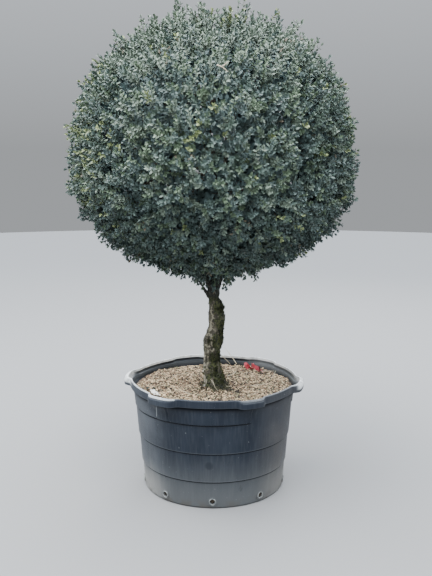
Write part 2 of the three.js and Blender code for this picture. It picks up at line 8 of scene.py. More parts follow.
import bpy
import numpy as np
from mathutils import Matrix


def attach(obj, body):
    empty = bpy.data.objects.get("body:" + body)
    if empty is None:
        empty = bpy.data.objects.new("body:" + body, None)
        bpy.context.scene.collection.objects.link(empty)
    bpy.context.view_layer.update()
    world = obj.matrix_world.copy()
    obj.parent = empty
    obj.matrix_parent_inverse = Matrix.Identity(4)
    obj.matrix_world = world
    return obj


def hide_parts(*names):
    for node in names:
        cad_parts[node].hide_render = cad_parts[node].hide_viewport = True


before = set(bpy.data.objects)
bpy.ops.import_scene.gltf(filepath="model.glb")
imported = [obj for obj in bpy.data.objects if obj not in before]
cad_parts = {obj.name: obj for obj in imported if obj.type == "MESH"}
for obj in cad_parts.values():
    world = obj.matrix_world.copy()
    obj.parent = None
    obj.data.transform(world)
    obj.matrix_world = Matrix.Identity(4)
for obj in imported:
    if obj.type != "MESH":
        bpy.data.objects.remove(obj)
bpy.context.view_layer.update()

# Tub, as in the part's source
TUB_HEIGHT = 0.510
TUB_BASE_RADIUS = 0.326
TUB_TAPER = 0.038
TUB_WALL = 0.0045
TUB_FLOOR = 0.006
TUB_SIDES = 240
BASE_ROUNDING = 0.009
BAND_HEIGHTS = (0.126, 0.259, 0.395)
BAND_STEP = 0.004
LIP_BOTTOM = 0.474
LIP_HOLLOW = 0.4822
LIP_RADIUS = 0.386
LIP_TOP_INNER_RADIUS = 0.377
BEAD_RADIUS = 0.3812
BEAD_RISE = 0.0035
LEDGE_HEIGHT = 0.486
FLARE_START = 0.415
GRIP_AZIMUTHS = np.array((-125.0, -65.5, -12.0, 50.0, 111.0, 174.0))
GRIP_HALF_WIDTHS = np.array((10.2, 8.8, 11.0, 11.0, 11.0, 11.0))
GRIP_FLARE = 0.018
GRIP_LIP = 0.010
GRIP_DROOP = 0.009
GRIP_SHARPNESS = 8
CORNER_PULL = 0.005
CORNER_SPREAD = 30
PLATES = ((-127.2, 4.4, 0.004), (-92.8, 28.6, 0.0024), (-98.6, 4.8, 0.0010))
PLATE_REPEATS = 2
PLATE_SLOPE = 0.22
FLUSH_SECTOR = (-34.0, 29.8)
BAND_GROOVE = 0.0018
DRAIN_COUNT = 9
DRAIN_BEARINGS = np.radians(-91 + 360 / DRAIN_COUNT * np.arange(DRAIN_COUNT))[:, None]
DRAIN_HEIGHT = 0.033
DRAIN_RADIUS = 0.0105
DRAIN_RIM_RADIUS = 0.0137
DRAIN_RIM_THICKNESS = 0.0021
BOSS_RADIUS = 0.021
BOSS_PROUD = 0.0025

# Potting mix
MIX_LEVEL = 0.468
MIX_CELLS = 112
CHIP_COUNT = 10500
FOOT_CRUMB_COUNT = 1800
HEAP_CRUMB_COUNT = 1700
CHIP_LENGTH = 0.0150
CHIP_WIDTH = 0.0054
CHIP_LIFT = 0.005
CHIP_SHAPE = ((-0.5, 0, 0), (0.5, 0, 0), (0.05, 0.5, 0), (-0.08, -0.5, 0.1), (0, 0, 0.5), (0, 0.1, -0.4))
CHIP_FACES = ((0, 4, 3), (0, 2, 4), (1, 3, 4), (1, 4, 2), (0, 3, 5), (0, 5, 2), (1, 5, 3), (1, 2, 5))
CRUMB_FACES = ((0, 1, 2), (0, 3, 1), (1, 3, 2), (2, 3, 0))

# Tones of chips: a name, a colour and a share
CHIP_TONES = (
    ("chips_pale", (0.70, 0.53, 0.325), 0.35),
    ("chips_tan", (0.29, 0.185, 0.112), 0.25),
    ("chips_dark", (0.034, 0.023, 0.015), 0.28),
    ("chips_grey", (0.33, 0.30, 0.175), 0.12),
)
DARK_CHIPS = 2

# Litter: where each straw starts and ends and how far it bends, and where leaves lie
STRAWS = (
    ((0.115, 0.340, 0.474), (0.050, 0.404, 0.550), 0.003),
    ((0.082, 0.342, 0.474), (0.022, 0.3845, 0.5185), 0.003),
    ((0.1975, 0.194, 0.4765), (0.2961, 0.194, 0.478), 0.012),
    ((0.273, 0.071, 0.474), (0.299, 0.122, 0.499), 0.003),
    ((0.019, -0.130, 0.476), (-0.004, -0.074, 0.508), -0.005),
    ((0.006, -0.098, 0.480), (-0.014, -0.070, 0.512), 0.004),
    ((0.060, 0.110, 0.474), (0.115, 0.215, 0.477), 0.014),
    ((0.130, -0.060, 0.474), (0.245, -0.020, 0.477), 0.010),
    ((0.045, -0.050, 0.473), (0.082, -0.088, 0.486), 0.004),
    ((-0.200, 0.120, 0.474), (-0.120, 0.175, 0.477), 0.010),
    ((-0.140, -0.120, 0.474), (-0.095, -0.185, 0.477), 0.008),
    ((0.150, -0.200, 0.474), (0.205, -0.150, 0.477), -0.008),
)
RIBBON_HALF_WIDTH = 0.0125
RIBBON_LOWEST = 0.4735
DRY_LEAF_COUNT = 46
FALLEN_LEAVES = (
    ((-0.307, -0.112, 0.479), (0.6, 0.8, 0.2)),
    ((-0.296, -0.093, 0.480), (-1, 0.3, 0.1)),
    ((-0.303, -0.122, 0.482), (0.3, 0.9, 0.25)),
    ((-0.286, -0.104, 0.480), (1, -0.2, 0.1)),
)
BLEACHED_LEAF = ((-0.291, -0.128, 0.4760), (-0.238, -0.212, 0.4765))

# Trunk and boughs, as in the part's source
TRUNK_FOOT = 0.4683
FORK_HEIGHT = 0.905
FORK_CLOSING = 0.045
FORK_CLOSED = 0.6
TRUNK_FOOT_RADIUS = 0.041
TRUNK_TOP_RADIUS = 0.029
ROOT_FLARE = 0.020
ROOT_FLARE_REACH = 0.030
ROOT_LOBES = 5
ROOT_LOBE_DEPTH = 0.13
TRUNK_BULGES = ((0.600, -0.0025, 0.034), (0.694, 0.005, 0.036), (0.790, 0.0035, 0.030))
TRUNK_SIDE_SWELL = (0.668, 0.0105, 0.080)
BRANCH_FOOT = (-0.004, -0.006, 0.842)
BRANCH_RUN = (-0.078, -0.026, 0.140)
BRANCH_SWEEP = 1.3
BOUGHS = (
    ("bough_leader", 60, 0.034, 2.040),
    ("bough_left", 195, 0.520, 1.640),
    ("bough_front", 281, 0.500, 1.560),
    ("bough_right", 12, 0.510, 1.600),
    ("bough_back", 101, 0.500, 1.660),
)
BOUGH_FOOT_HEIGHT = 0.842
BOUGH_CUT_HEIGHT = 1.008
BOUGH_SWEEP = 1.6
BOUGH_CURL = 0.1
BOUGH_FOOT_RADIUS = 0.017
BOUGH_TIP_RADIUS = 0.007
BOUGH_SEATED = 0.032
BARK_VOXEL = 0.0029
MOSS_COUNT = 9000
MOSS_FACES = ((0, 1, 3), (0, 3, 2), (3, 1, 2))

# Crown, as in the part's source
CROWN_CENTRE = np.array((0.0, 0.0, 1.460))
CROWN_HALF_WIDTH = 0.645
CROWN_RISE = 0.671
CROWN_DROP = 0.472
CROWN_SQUARENESS_ABOVE = 2.3
CROWN_SQUARENESS_BELOW = 2
CROWN_LUMP = 0.01
CORE_DEPTH = 0.070
CORE_DEPTH_BELOW = 0.046
CORE_THICKNESS = 0.040
CORE_MOUTH_RADIUS = 0.092

# Long shoots: a direction from the crown's centre, and how far each stands out
TOP_SHOOTS = (
    (-0.430, -0.060, 0.026), (-0.255, 0.040, 0.024), (-0.132, -0.010, 0.050), (-0.048, 0.090, 0.042),
    (0.112, -0.040, 0.044), (0.240, 0.030, 0.042), (0.356, -0.030, 0.034), (0.480, 0.060, 0.030),
    (-0.300, 0.330, 0.030), (0.180, 0.400, 0.030), (0.060, -0.330, 0.024),
)
LOW_SHOOTS = (
    (0.160, -0.080, 0.046), (0.060, -0.150, 0.034), (-0.070, -0.140, 0.030), (-0.150, -0.030, 0.024),
    (-0.060, 0.150, 0.026), (0.110, 0.110, 0.026), (0.048, -0.050, 0.070), (-0.044, -0.052, 0.066),
    (0.004, -0.070, 0.078), (0.062, 0.020, 0.060), (-0.060, 0.022, 0.058), (0.002, 0.066, 0.068),
)
LONG_SHOOTS = (
    *((x, y, 0.600, above) for x, y, above in TOP_SHOOTS),
    (-0.620, 0.000, 0.180, 0.016),
    *((x, y, -0.420, above) for x, y, above in LOW_SHOOTS),
)

# Finer branching: limbs leave the boughs, branchlets leave the limbs and shoots leave the branchlets
SEED = 17
LIMB_COUNT = 120
BRANCHLET_COUNT = 1500
SHOOT_COUNT = 8200
TUFT_COUNT = 1050
TUFT_PULL = 0.16
TUFT_RELIEF = 0.016
TUFT_DOME = 6.0
SWELL_RELIEF = 0.014
SHOOT_RELIEF = 0.010
SIDE_TRIM = 0.016
LEAF_PAIR_COUNT = 6
INNER_PAIR_COUNT = 8
LEAF_LENGTH = 0.0204
LEAF_WIDTH = 0.0105
LEAF_SIDE = 0.46 * LEAF_WIDTH / LEAF_LENGTH
LEAF_SHAPE = np.array(
    (
        (-0.06, 0, -0.02), (1, 0, -0.09), (0.30, LEAF_SIDE, 0.06), (0.70, LEAF_SIDE, 0.03),
        (0.30, -LEAF_SIDE, 0.06), (0.70, -LEAF_SIDE, 0.03),
    )
)
LEAF_FACES = ((0, 1, 3), (0, 3, 2), (0, 5, 1), (0, 4, 5))
LEAF_OPENINGS = (70, 38)
CURVE_REACH = 0.38
OUTER_COST = 0.8
MOST_PAIRS = 4_000_000

# How much further a long shoot stands out, and how it turns up or down
UPPER_SHOOTS = (0.027, 0.7)
LOWER_SHOOTS = (0, -0.3)

# Tones of leaves: a name, a colour and a roughness
LEAF_TONES = (
    ("foliage_deep", (0.061, 0.092, 0.084), 0.56),
    ("foliage_dark", (0.072, 0.107, 0.083), 0.56),
    ("foliage_blue", (0.084, 0.123, 0.106), 0.54),
    ("foliage_mid", (0.102, 0.147, 0.092), 0.54),
    ("foliage_grey", (0.146, 0.189, 0.146), 0.56),
    ("foliage_young", (0.200, 0.242, 0.108), 0.56),
    ("foliage_bronze", (0.120, 0.100, 0.065), 0.56),
)
TONE_SHARES = (0.19, 0.21, 0.22, 0.22, 0.16)
# The inner leaves are painted paler than the outer ones, as painted light that lifts the shade in the gaps
# between them.
INNER_TONE = ("foliage_inner", (0.148, 0.214, 0.210), 0.6)
DEEP, GREY, YOUNG, BRONZE = 0, 4, 5, 6
SHADED_FROM = 0.06
YOUNG_FROM = 6

# Places in the picture, in its pixels from the top left
PICTURE_CENTRE = (216, 288)
PICTURE_FOCUS = 799
PITCH = math.radians(9.91)
EYE = np.array((0.0101, -3.6163, 1.5587))
YOUNG_SPRAYS = ((165, 184, 0.032), (222, 118, 0.024), (193, 92, 0.020), (181, 156, 0.016))
TROUGHS = (
    (308, 137, 0.080), (312, 151, 0.120), (315, 166, 0.125), (314, 181, 0.115), (318, 196, 0.070),
    (110, 136, 0.050), (104, 150, 0.040), (155, 70, 0.045), (162, 112, 0.050), (235, 66, 0.040),
    (275, 116, 0.050), (222, 148, 0.050), (172, 182, 0.055), (196, 233, 0.040), (130, 197, 0.040),
)
TROUGH_WIDTH = 0.055
HOLLOW_DEPTH = 0.28
HOLLOW_SIZE = 0.105
DEAD_TWIG = ((217, 68), (228, 75))

# Stage
LENS_LENGTH = 49.94
FLOOR_RADIUS = 12
FLOOR_SIDES = 96
FLOOR_HEIGHT = -0.0005
SKY_MIDDLE = 0.35
SKY_COLOURS = ((0.37, 0.385, 0.40), (0.80, 0.855, 0.92), (6.4, 6.9, 7.6))

# Lights: a name, a place, a size, a power and a colour, all turned to a point on the Z axis
LIT_HEIGHT = 1.2
LIGHTS = (
    ("key", (-3.0, 1.0, 5.0), 3.0, 215, (0.95, 0.98, 1.0)),
    ("back", (1.2, 4.4, 3.8), 3.0, 190, (0.97, 0.99, 1.0)),
    ("top", (-0.9, -2.0, 5.8), 2.4, 430, (0.98, 0.99, 0.99)),
    ("fill", (3.6, -3.6, 3.2), 3.0, 30, (1.0, 0.98, 0.95)),
    ("front", (-1.2, -5.6, 2.6), 4.0, 62, (0.95, 0.98, 1.0)),
)

UP = np.array((0, 0, 1.0))

rng = np.random.default_rng(SEED)


# Numbers and vectors


def smoothstep(value, low, high):
    share = np.clip((value - low) / (high - low), 0, 1)
    return share * share * (3 - 2 * share)


def hill(away):
    """1 at 0, and less further away on both sides."""
    return np.exp(-(away**2))


def lerp(a, b, share):
    return a + (b - a) * share


def length(vectors):
    return np.linalg.norm(vectors, axis=-1)


def unit(vectors):
    return vectors / np.maximum(np.linalg.norm(vectors, axis=-1, keepdims=True), 1e-12)


def circle(sides):
    """Even angles all round."""
    return np.linspace(0, 2 * np.pi, sides, endpoint=False)


def polar(radius, bearing, height=0.0):
    """Places at distances and bearings from the Z axis, and at heights."""
    parts = radius * np.cos(bearing), radius * np.sin(bearing), height
    return np.stack(np.broadcast_arrays(*parts), -1)


def wrapped(degrees):
    """Angles brought within half a turn of 0."""
    return (degrees + 540) % 360 - 180


def hashed(cells, seed):
    """A number from 0 to 1 for each cell of whole numbers."""
    x, y, z = (cells[..., i].astype(np.uint32) for i in range(3))
    mixed = x * np.uint32(374761393) + y * np.uint32(668265263) + z * np.uint32(2246822519)
    mixed = mixed + np.uint32(seed * 97471 + 1)
    mixed = (mixed ^ (mixed >> np.uint32(13))) * np.uint32(1274126177)
    return (mixed ^ (mixed >> np.uint32(16))).astype(float) / 2**32


def noise(points, size, seed=0):
    """Smooth noise from -1 to 1 at points, with features of about that size along X, Y and Z."""
    places = np.asarray(points, float) / np.asarray(size, float) + 1000.0
    cell = np.floor(places).astype(np.int64)
    part = places - cell
    part = part * part * (3 - 2 * part)
    total = np.zeros(places.shape[:-1])
    for corner in np.ndindex(2, 2, 2):
        share = np.prod(np.where(corner, part, 1 - part), axis=-1)
        total += share * hashed(cell + np.array(corner), seed)
    return 2 * total - 1


# Meshes


def added(name, data):
    """A new object in the scene."""
    made = bpy.data.objects.new(name, data)
    bpy.context.scene.collection.objects.link(made)
    return made


def mesh_object(name, points, *faces, smooth=True):
    """An object from points and one array of faces for each number of corners."""
    mesh = bpy.data.meshes.new(name)
    points = np.asarray(points, np.float32).reshape(-1, 3)
    faces = [part.reshape(-1, part.shape[-1]) for part in faces]
    corners = np.concatenate([part.ravel() for part in faces]).astype(np.int32)
    sizes = np.concatenate([np.full(len(part), part.shape[1]) for part in faces])
    mesh.vertices.add(len(points))
    mesh.vertices.foreach_set("co", points.ravel())
    mesh.loops.add(len(corners))
    mesh.loops.foreach_set("vertex_index", corners)
    mesh.polygons.add(len(sizes))
    mesh.polygons.foreach_set("loop_start", (np.cumsum(sizes) - sizes).astype(np.int32))
    mesh.update(calc_edges=True)
    mesh.polygons.foreach_set("use_smooth", np.full(len(sizes), smooth))
    return added(name, mesh)


def of_vertices(mesh, what):
    """The places or normals of a mesh's points."""
    found = np.zeros(len(mesh.vertices) * 3, np.float32)
    mesh.vertices.foreach_get(what, found)
    return found.reshape(-1, 3).astype(float)


def finished(made, material, slot=None, *nodes):
    """Gives a piece its material and hides the nodes that it stands for. Its slot is not used."""
    made.data.materials.append(material)
    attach(made, "root")
    if nodes:
        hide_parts(*nodes)


def applied(made):
    """Applies an object's modifiers."""
    graph = bpy.context.evaluated_depsgraph_get()
    mesh = bpy.data.meshes.new_from_object(made.evaluated_get(graph))
    made.modifiers.clear()
    made.data = mesh


def ring_faces(rings, sides):
    """Quads between rings of points that lie one after another."""
    ring, side = np.meshgrid(np.arange(rings - 1), np.arange(sides), indexing="ij")
    after = (side + 1) % sides
    low, high = ring * sides, (ring + 1) * sides
    return np.stack([low + side, low + after, high + after, high + side], -1).reshape(-1, 4)


def grid_faces(*size):
    """Quads between the points of a grid."""
    index = np.arange(math.prod(size)).reshape(size)
    return np.stack([index[:-1, :-1], index[1:, :-1], index[1:, 1:], index[:-1, 1:]], -1).reshape(-1, 4)


def repeated(faces, count, corners):
    """The faces of a small shape with so many corners, for each of a number of such shapes."""
    return np.arange(count)[:, None, None] * corners + faces


def set_out(place, axes, shape):
    """The points of a small shape at each place, along that place's own three axes."""
    return place[:, None] + sum(axis[:, None] * shape[..., i, None] for i, axis in enumerate(axes))


def tubes(paths, radii, sides):
    """Points and faces of round tubes, closed at both ends, along paths (tube, place, XYZ)."""
    count, places = paths.shape[:2]
    tangent = unit(np.gradient(paths, axis=1))
    mean = unit(paths[:, -1] - paths[:, 0])
    helper = np.eye(3)[np.argmin(np.abs(mean), axis=1)][:, None, :]
    across = unit(np.cross(tangent, helper))
    beside = np.cross(tangent, across)
    angle = circle(sides)[:, None]
    offset = across[:, :, None] * np.cos(angle) + beside[:, :, None] * np.sin(angle)
    points = paths[:, :, None] + offset * np.broadcast_to(radii, (count, places))[..., None, None]
    step = places * sides
    start = np.arange(count)[:, None, None] * step
    walls = (start + ring_faces(places, sides)).reshape(-1, 4)
    foot = start[:, 0] + np.arange(sides)[::-1]
    tip = start[:, 0] + step - sides + np.arange(sides)
    return points.reshape(-1, 3), walls, np.concatenate([foot, tip])


def curves(start, start_way, end, end_way, places):
    """Curves from start points to end points that leave and arrive along given directions."""
    reach = length(end - start)[:, None] * CURVE_REACH
    near, far = start + start_way * reach, end - end_way * reach
    t = np.linspace(0, 1, places)[None, :, None]
    a, b, c, d = (p[:, None] for p in (start, near, far, end))
    return a * (1 - t) ** 3 + 3 * b * t * (1 - t) ** 2 + 3 * c * t * t * (1 - t) + d * t**3


# Materials


class Paint:
    """One material and the nodes that its colour and relief come from."""

    def __init__(self, name, colour, roughness, specular=0.5):
        self.material = bpy.data.materials.new(name)
        self.material.use_nodes = True
        self.tree = self.material.node_tree
        self.shader = self.tree.nodes["Principled BSDF"]
        inputs = {"Base Color": colour, "Roughness": roughness, "Specular IOR Level": specular}
        self.fill(self.shader, inputs)
        self.colour = colour

    def fill(self, node, inputs):
        """Sets a node's inputs, or links them to other nodes' outputs."""
        for key, value in inputs.items():
            socket = node.inputs[key]
            if isinstance(value, bpy.types.NodeSocket):
                self.tree.links.new(value, socket)
            elif value is not None:
                socket.default_value = (*value, 1) if socket.type == "RGBA" else value
        return node.outputs

    def node(self, kind, inputs, **settings):
        """The outputs of a new node."""
        made = self.tree.nodes.new(kind)
        for key, value in settings.items():
            setattr(made, key, value)
        return self.fill(made, inputs)

    def place(self):
        return self.node("ShaderNodeTexCoord", {})["Object"]

    def measure(self):
        """Finds the place on the object along each axis, and how far the surface faces along each."""
        self.x, self.y, self.z = self.node("ShaderNodeSeparateXYZ", {0: self.place()})
        self.aside = self.maths("ABSOLUTE", self.x, 0)
        normal = self.node("ShaderNodeNewGeometry", {})["Normal"]
        self.facing = list(self.node("ShaderNodeSeparateXYZ", {0: normal}))

    def noise(self, scale, detail, stretch=(1, 1, 1), rough=0.55):
        place = self.node("ShaderNodeMapping", {"Vector": self.place(), "Scale": stretch})[0]
        inputs = {"Vector": place, "Scale": scale, "Detail": detail, "Roughness": rough}
        return self.node("ShaderNodeTexNoise", inputs)[0]

    def span(self, value, low, high, to_low=0.0, to_high=1.0):
        """The value taken from one range to another, smoothly and no further."""
        inputs = {0: value, 1: low, 2: high, 3: to_low, 4: to_high}
        return self.node("ShaderNodeMapRange", inputs, interpolation_type="SMOOTHSTEP")[0]

    def maths(self, operation, *values):
        """Values joined by an operation, one after another. A tuple stands for a span."""
        value, *others = (self.span(*each) if isinstance(each, tuple) else each for each in values)
        for other in others:
            value = self.node("ShaderNodeMath", {0: value, 1: other}, operation=operation)[0]
        return value

    def times(self, *values):
        return self.maths("MULTIPLY", *values)

    def plus(self, *values):
        return self.maths("ADD", *values)

    def most(self, *values):
        return self.maths("MAXIMUM", *values)

    def apart(self, a, b, from_a, from_b):
        """The square of the distance from a point, along two axes."""
        a, b = self.plus(a, -from_a), self.plus(b, -from_b)
        return self.plus(self.times(a, a), self.times(b, b))

    def mixed(self, share, a, b):
        return self.node("ShaderNodeMix", {0: share, 6: a, 7: b}, data_type="RGBA")[2]

    def coat(self, colour, *shares):
        """Lays a colour over what is there, as far as the product of the shares says."""
        self.colour = self.mixed(self.times(*shares), self.colour, colour)

    def finish(self, relief=None, depth=0.001, roughness=None):
        normal = None
        if relief is not None:
            normal = self.node("ShaderNodeBump", {"Height": relief, "Distance": depth})[0]
        self.fill(self.shader, {"Base Color": self.colour, "Roughness": roughness, "Normal": normal})
        return self.material


def speckled(name, roughness, low, high, scale, detail, *span):
    """A material whose colour wanders between two."""
    paint = Paint(name, low, roughness)
    share = paint.noise(scale, detail)
    paint.coat(high, (share, *span) if span else share)
    return paint.finish()


def tub_material():
    """Blue-grey moulded plastic: dusty low down, with rain streaks, pale scuffs, a rim that is partly worn
    and partly painted highlight, painted shadow lines under the bands and painted shade under the lip.
    """
    paint = Paint("weathered_tub_plastic", (0.0088, 0.0130, 0.0212), 0.6, 0.22)
    paint.measure()
    cloud = paint.noise(9, 5)
    outward = paint.plus(paint.times(paint.x, paint.facing[0]), paint.times(paint.y, paint.facing[1]))
    inward = paint.span(outward, -0.08, -0.22)
    paint.coat((0.0155, 0.0214, 0.0312), (cloud, 0.35, 0.7))
    coat_dust_sheen_and_reflection(paint, cloud)
    coat_band_lines(paint)
    coat_marks(paint)
    coat_inside(paint, inward)
    coat_rim_wear_and_sheen(paint, inward)
    # Painted shade: the wall just under the lip is painted near black and made rougher, where the lip's
    # shadow falls.
    under_lip_shade = paint.times((paint.z, 0.446, 0.470), (paint.z, 0.4765, 0.4745), (inward, 0, 1, 1, 0.25))
    paint.coat((0.002, 0.003, 0.005), under_lip_shade, 0.95)
    rough = paint.most((cloud, 0.3, 0.7, 0.46, 0.66), under_lip_shade)
    return paint.finish(paint.plus(paint.noise(420, 3), paint.times(cloud, 2.0)), 0.0006, rough)


def coat_dust_sheen_and_reflection(paint, cloud):
    """Dust that thins out upwards and is thicker at the sides, with rain streaks and dark stains; a painted
    sheen high on the left and a painted warm reflection low on the right.
    """
    x, z = paint.x, paint.z
    streak = paint.noise(30, 5, (1, 1, 0.06), 0.65)
    ragged = paint.plus(z, paint.times((streak, 0.3, 0.7), -0.030))
    paint.coat((0.075, 0.085, 0.095), (paint.noise(120, 3, (1, 1, 0.05)), 0.4, 0.75, 0, 0.14))
    paint.coat((0.098, 0.103, 0.104), (ragged, 0.275, -0.02, 0, 0.78))
    paint.coat((0.10, 0.11, 0.12), (streak, 0.55, 0.78, 0, 0.11))
    # Painted sheen: the upper wall is painted paler on the left, where the light falls.
    left_sheen_heights = paint.times((z, 0.478, 0.470, 0.45, 1), (z, 0.30, 0.44, 1, 0.78))
    paint.coat((0.112, 0.121, 0.132), (x, -0.17, -0.33), (cloud, 0.3, 0.65, 0.3, 0.75), left_sheen_heights)
    # Painted reflection: a warm brown tint low on the right side stands for the brown ground reflected there.
    right_reflection_heights = paint.span(z, 0.24, 0.42, 1, 0.5)
    paint.coat((0.105, 0.095, 0.085), (x, 0.150, 0.30), (cloud, 0.35, 0.65, 0.24, 0.52), right_reflection_heights)
    # Paler at the left and right sides low down: dust, and painted sheen where the wall turns away.
    sides = paint.times((paint.aside, 0.17, 0.31), (x, 0.1, -0.1, 0.42, 1))
    paint.coat((0.30, 0.293, 0.270), (ragged, 0.17, 0.0, 0, 0.72), sides)
    paint.coat((0.008, 0.010, 0.015), (paint.noise(16, 6, (1, 1, 0.5), 0.7), 0.60, 0.70, 0, 0.4))


def coat_band_lines(paint):
    """A dark line of dirt and painted shadow under each band and under the lip, and a pale line of edge wear
    and painted highlight along the lower edge of all but the top band.
    """
    z, dark = paint.z, (0.006, 0.007, 0.010)
    *bands, top = BAND_HEIGHTS
    # Each step gets a dark line of dirt and painted shadow, and a pale line of wear and painted highlight.
    for band in (*bands, LIP_BOTTOM - 0.001):
        paint.coat(dark, (z, band - 0.006, band - 0.0035), (z, band + 0.0006, band), 0.9)
        paint.coat((0.3, 0.32, 0.34), (z, band, band + 0.001), (z, band + 0.006, band + 0.002), 0.09)
    # Under the top band only the dark line of dirt and painted shadow, left out in the flush sector.
    flush = paint.span(paint.times(paint.x, paint.y), -0.003, -0.006)
    stepped = paint.span(paint.times(flush, (paint.aside, 0.1545, 0.1565)), 1, 0)
    paint.coat(dark, (z, top - 0.009, top - 0.006), (z, top + 0.0006, top), stepped, 0.9)


def coat_marks(paint):
    """A dark mark on the front, a painted highlight down the left edge of a front plate, pale specks all
    round and mud at the foot.
    """
    x, y, z = paint.x, paint.y, paint.z
    mark = paint.apart(x, z, -0.020, 0.205)
    paint.coat((0.010, 0.013, 0.018), (mark, 0.0005, 0.0001, 0, 0.6), (y, 0, -0.1))
    # Painted highlight: a pale vertical line down the front plate's left edge, where the light catches it.
    plate_edge_highlight = paint.times((x, -0.2515, -0.250), (x, -0.2465, -0.248), (z, 0.400, 0.408), (z, 0.470, 0.455))
    paint.coat((0.24, 0.26, 0.27), plate_edge_highlight, (y, -0.20, -0.22), 0.8)
    paint.coat((0.22, 0.23, 0.23), (paint.noise(95, 2), 0.725, 0.76, 0, 0.35))
    paint.coat((0.075, 0.066, 0.054), (z, 0.05, 0.0), (paint.noise(26, 5), 0.42, 0.62, 0, 0.6))


def coat_inside(paint, inward):
    """The inner wall above the mix, paler on the right, and a dark strip of painted shade under the rim at
    the back.
    """
    x, y, z = paint.x, paint.y, paint.z
    wall = paint.mixed(paint.span(x, 0.10, 0.24), (0.055, 0.060, 0.062), (0.150, 0.158, 0.155))
    paint.coat(wall, inward, (z, 0.464, 0.470), 0.8)
    # Painted shade: a dark strip on the inner wall just under the rim, at the back.
    strip = paint.times((z, 0.4875, 0.4895), (z, 0.4990, 0.4970), inward, (y, -0.15, 0))
    paint.coat((0.004, 0.005, 0.007), strip, (x, 0.12, 0.24, 1, 0.3), (x, -0.32, -0.22, 0.4, 1), 0.9)


def coat_rim_wear_and_sheen(paint, inward):
    """The rim's pale edges, partly worn and partly painted highlight: its flange, bead and inner face, and
    the ends of the side grips, with painted sheen palest at the back and the grips' ends.
    """
    x, y, z = paint.x, paint.y, paint.z
    upward = paint.span(paint.facing[2], 0.25, 0.9)
    right = paint.span(x, 0.0, 0.05)
    right_flange = paint.times(right, (z, 0.5020, 0.5036, 1, 0.42))
    left_flange = paint.most((x, -0.20, -0.24, 0.15, 0.8), (z, 0.5012, 0.5032, 0, 0.9))
    flange = paint.plus(right_flange, paint.times((right, 1, 0), left_flange))
    flange = paint.times((z, 0.4930, 0.4968, 0, 0.92), upward, flange)
    bead = paint.times((z, 0.5066, 0.5090), (upward, 0, 1, 0.75, 1))
    rim = paint.most(flange, bead, paint.times(inward, (z, 0.4980, 0.5005)))
    front = paint.times((y, -0.05, -0.15), (x, 0.36, 0.34), (x, -0.175, -0.160))
    front = paint.times(front, (x, 0.10, 0.12, 0.80, 0.62), (z, 0.5016, 0.5036))
    ends = paint.times((paint.aside, 0.368, 0.392), (z, 0.482, 0.492, 0, 0.8))
    # Painted sheen: the pale colour is whiter at the back and at the side grips' ends.
    pale = paint.mixed(paint.most((y, 0.05, 0.20), ends), (0.48, 0.50, 0.50), (0.88, 0.89, 0.87))
    worn = paint.most(paint.times(rim, (front, 0, 1, 1, 0)), ends)
    paint.coat(pale, worn, (paint.noise(45, 4), 0.3, 0.6, 0.6, 1.0))


def mix_material():
    """Fine bark mix with pale and dark grains, darker and greener round the trunk: moss, and painted shade.
    """
    paint = Paint("chopped_bark_mix", (0.035, 0.025, 0.017), 0.95)
    paint.measure()
    grain = paint.noise(150, 5)
    paint.coat((0.165, 0.125, 0.088), (grain, 0.35, 0.65))
    paint.coat((0.07, 0.062, 0.040), (paint.noise(14, 4), 0.45, 0.7, 0, 0.35))
    # Darker and greener round the trunk's foot: moss, and painted shade.
    near = paint.apart(paint.x, paint.y, 0.012, -0.052)
    paint.coat((0.026, 0.028, 0.015), (near, 0.0095, 0.0035, 0, 0.85))
    return paint.finish(grain, 0.004)


def bark_material(name, moss, light, dark):
    """Grey-brown bark with pale lichen on its left, where it is also painted light, moss on the side that the
    sun leaves, and painted shade from just under the fork upwards.
    """
    paint = Paint(name, dark, 0.9)
    paint.measure()
    sideways = paint.facing[0]
    ridge = paint.noise(60, 6, (1, 1, 0.22), 0.65)
    paint.coat(light, (ridge, 0.36, 0.66))
    lichen = paint.span(paint.noise(52, 5), 0.50, 0.60, 0, 0.62)
    # Lichen on the left-facing side: real lichen, placed there also as painted light from the left.
    paint.coat((0.40, 0.365, 0.26), lichen, (sideways, 0.30, -0.50, 0.08, 1))
    # A pale strip down the trunk's left edge: lichen and painted highlight.
    strip = paint.times((paint.x, -0.036, -0.046), (paint.z, 0.66, 0.58))
    paint.coat((0.62, 0.57, 0.45), strip, (ridge, 0.40, 0.56, 0.15, 0.85))
    blend = paint.span(paint.noise(110, 4), 0.38, 0.66)
    green = paint.mixed(blend, (0.008, 0.011, 0.005), (0.075, 0.084, 0.028))
    mossy = paint.plus(paint.noise(26, 5, (1, 1, 0.7)), (sideways, -0.6, 0.4, -0.09, 0.11))
    paint.coat(green, (mossy, 0.49, 0.57, 0, moss))
    # Painted shade: the bark is darkened from just under the fork upwards, in the crown's shadow.
    paint.coat((0.008, 0.009, 0.008), (paint.z, 0.855, 0.905, 0, 0.85))
    return paint.finish(paint.plus(ridge, paint.noise(260, 3)), 0.003)


# Tub


def wall_radius(height):
    steps = sum(smoothstep(height, band, band + 0.0008) for band in BAND_HEIGHTS)
    return TUB_BASE_RADIUS + TUB_TAPER * height / TUB_HEIGHT + BAND_STEP * steps


def inner_radius(height):
    top = wall_radius(LIP_BOTTOM) - TUB_WALL - 0.001
    bottom = TUB_BASE_RADIUS - TUB_WALL - 0.001
    return lerp(bottom, top, height / LIP_BOTTOM)


def sector(azimuth, centre, half_width):
    """1 within a sector of the tub and its repeats, falling to 0 at its sides."""
    away = np.abs(wrapped((azimuth - centre) * PLATE_REPEATS)) / PLATE_REPEATS
    return 1 - smoothstep(away, half_width - PLATE_SLOPE, half_width + PLATE_SLOPE)


